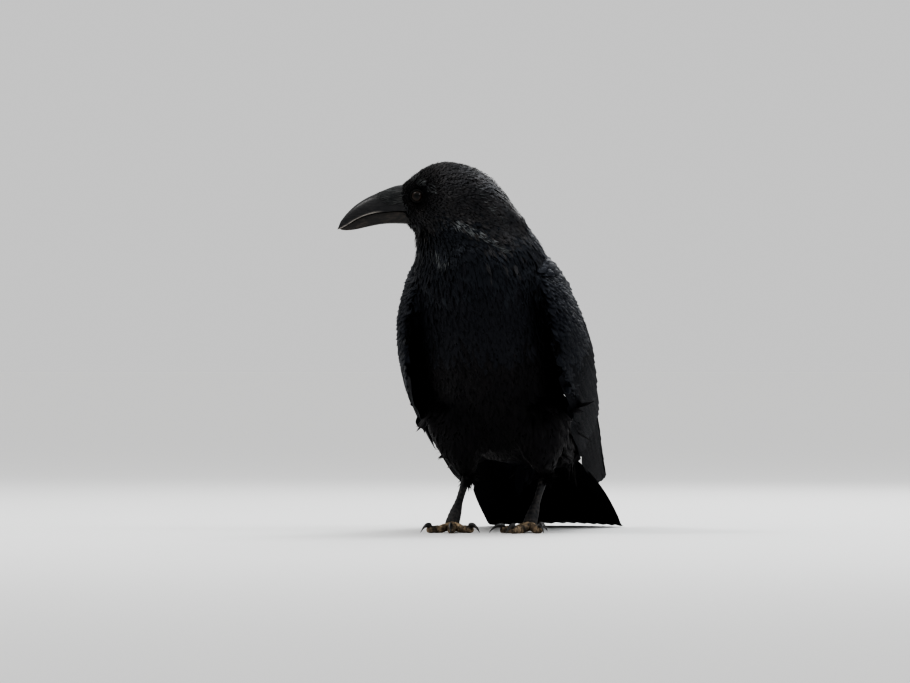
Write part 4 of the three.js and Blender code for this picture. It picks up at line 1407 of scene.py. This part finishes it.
def tarsus(name, heel, ankle):
    t = np.linspace(-0.1, 1.03, 110)[:, None]
    sizes = TARSUS(t[:, 0])
    down = unit(ankle - heel)
    front_way = unit(-Y - down * (-Y @ down))
    small = 0.16 * np.cos(t * 170) * np.cos(ROUND * 7) * (1 - FACING)
    swell = plates(t, 11) * FACING * 0.55 + small
    limb(f"tarsus_{name}", heel + (ankle - heel) * t, np.cross(down, front_way), front_way,
         sizes[:, :1] + swell, sizes[:, 1:] + swell, SCALES, "leg_scales", 0.4)


def toe_and_claw(name, toe, base, heading, length, claw, half, joints):
    ahead_way = np.array([math.sin(heading), -math.cos(heading), 0.0])
    side_way = np.cross(Z, ahead_way)
    t = np.linspace(0, 1, 70)[:, None]
    thick = half * (0.9 + 0.13 * np.abs(np.sin(t * math.pi * joints)) ** 0.7) * mix(1.04, 0.78, t)
    centres = base + ahead_way * mix(2.0, length, t) + Z * np.interp(t, [0, 0.45, 1], [6.8, 3.5, 3.3])
    grain = 0.14 * np.cos(t * length * 2.4) * np.cos(ROUND * 9) * np.clip(-np.sin(ROUND), 0, 1)
    swell = plates(t, length / 3.1) * FACING * 0.42 + grain
    limb(f"toe_{name}_{toe}", centres, side_way, Z, thick * 0.94 + swell, thick * 0.98 + swell, TOE_SCALES,
         "leg_scales", 0.05)
    t = np.linspace(0, 1, 34)[:, None]
    thick = half * 0.78 * (1 - t) ** 0.75 + 0.3
    high = 4.4 + 2.6 * np.sin(math.pi * np.minimum(1, t * 0.86)) - 4.9 * t * t + thick / 2
    centres = base + ahead_way * (length - 3 + (claw + 1) * t) + Z * high
    below = np.where(np.sin(ROUND) > 0, thick, thick * 0.75)
    limb(f"claw_{name}_{toe}", centres, side_way, Z, thick * 0.6, below, CLAW, "claw_horn", 0.3)


for name, side, heel, ankle, turn in LEGS:
    heel, ankle = np.array(heel, float) + BIRD, np.array(ankle, float) + BIRD
    tarsus(name, heel, ankle)
    for toe, (spread_turn, *sizes) in TOES.items():
        toe_and_claw(name, toe, ankle * [1, 1, 0], turn + side * spread_turn, *sizes)

# ---- Floor and light ----
FLOOR_RADIUS = 40000
FLOOR_CORNERS = 96
FLOOR_COLOUR = (0.7, 0.7, 0.695)
floor_look = Finish("studio_floor")
floor_shade = floor_look.blend(
    floor_look.noise(None, 6.0, 2.0), colour([c * 0.985 for c in FLOOR_COLOUR]), colour(FLOOR_COLOUR)
)
floor_look.shade({"Base Color": floor_shade, "Roughness": 0.9, "Specular IOR Level": 0.2})
circle = np.vstack([around(X, Y, full_turn(FLOOR_CORNERS)) * FLOOR_RADIUS, [[0, 0, 0]]])
floor_faces = [[i, (i + 1) % FLOOR_CORNERS, FLOOR_CORNERS, FLOOR_CORNERS] for i in range(FLOOR_CORNERS)]
floor = mesh_object("studio_floor", circle, floor_faces, floor_look.material, smooth=False)

world = bpy.data.worlds.new("studio")
bpy.context.scene.world = world
world.use_nodes = True
background = world.node_tree.nodes["Background"].inputs
background["Color"].default_value = colour((1.0, 1.0, 1.0))
background["Strength"].default_value = 0.6


def soft_light(name, at, aim, size, power, tint=(1, 1, 1)):
    data = bpy.data.lights.new(name, "AREA")
    data.shape = "RECTANGLE"
    data.size, data.size_y = size
    data.energy = power
    data.color = tint
    light = placed(name, data)
    point_along(light, at, Vector(aim) - Vector(at))
    light.visible_camera = False


sun = bpy.data.lights.new("overcast", "SUN")
sun.energy = 0.81
sun.angle = math.radians(120)
placed("overcast", sun)
soft_light("sky", (0.5, 0.7, 2.3), (0, 0, 0.2), (1.2, 1.2), 26, (0.95, 0.98, 1))
soft_light("key", (-1.3, -1.0, 2.2), (0, -0.05, 0.25), (0.35, 0.35), 14, (1, 0.99, 0.97))
soft_light("side", (1.6, -1.0, 1.5), (0, 0, 0.2), (0.6, 0.6), 8, (0.93, 0.97, 1))
soft_light("back", (0.3, 2.0, 1.3), (0, 0, 0.2), (1.0, 0.6), 10)
bpy.context.scene.view_settings.view_transform = "AgX"
bpy.context.scene.view_settings.look = "AgX - High Contrast"
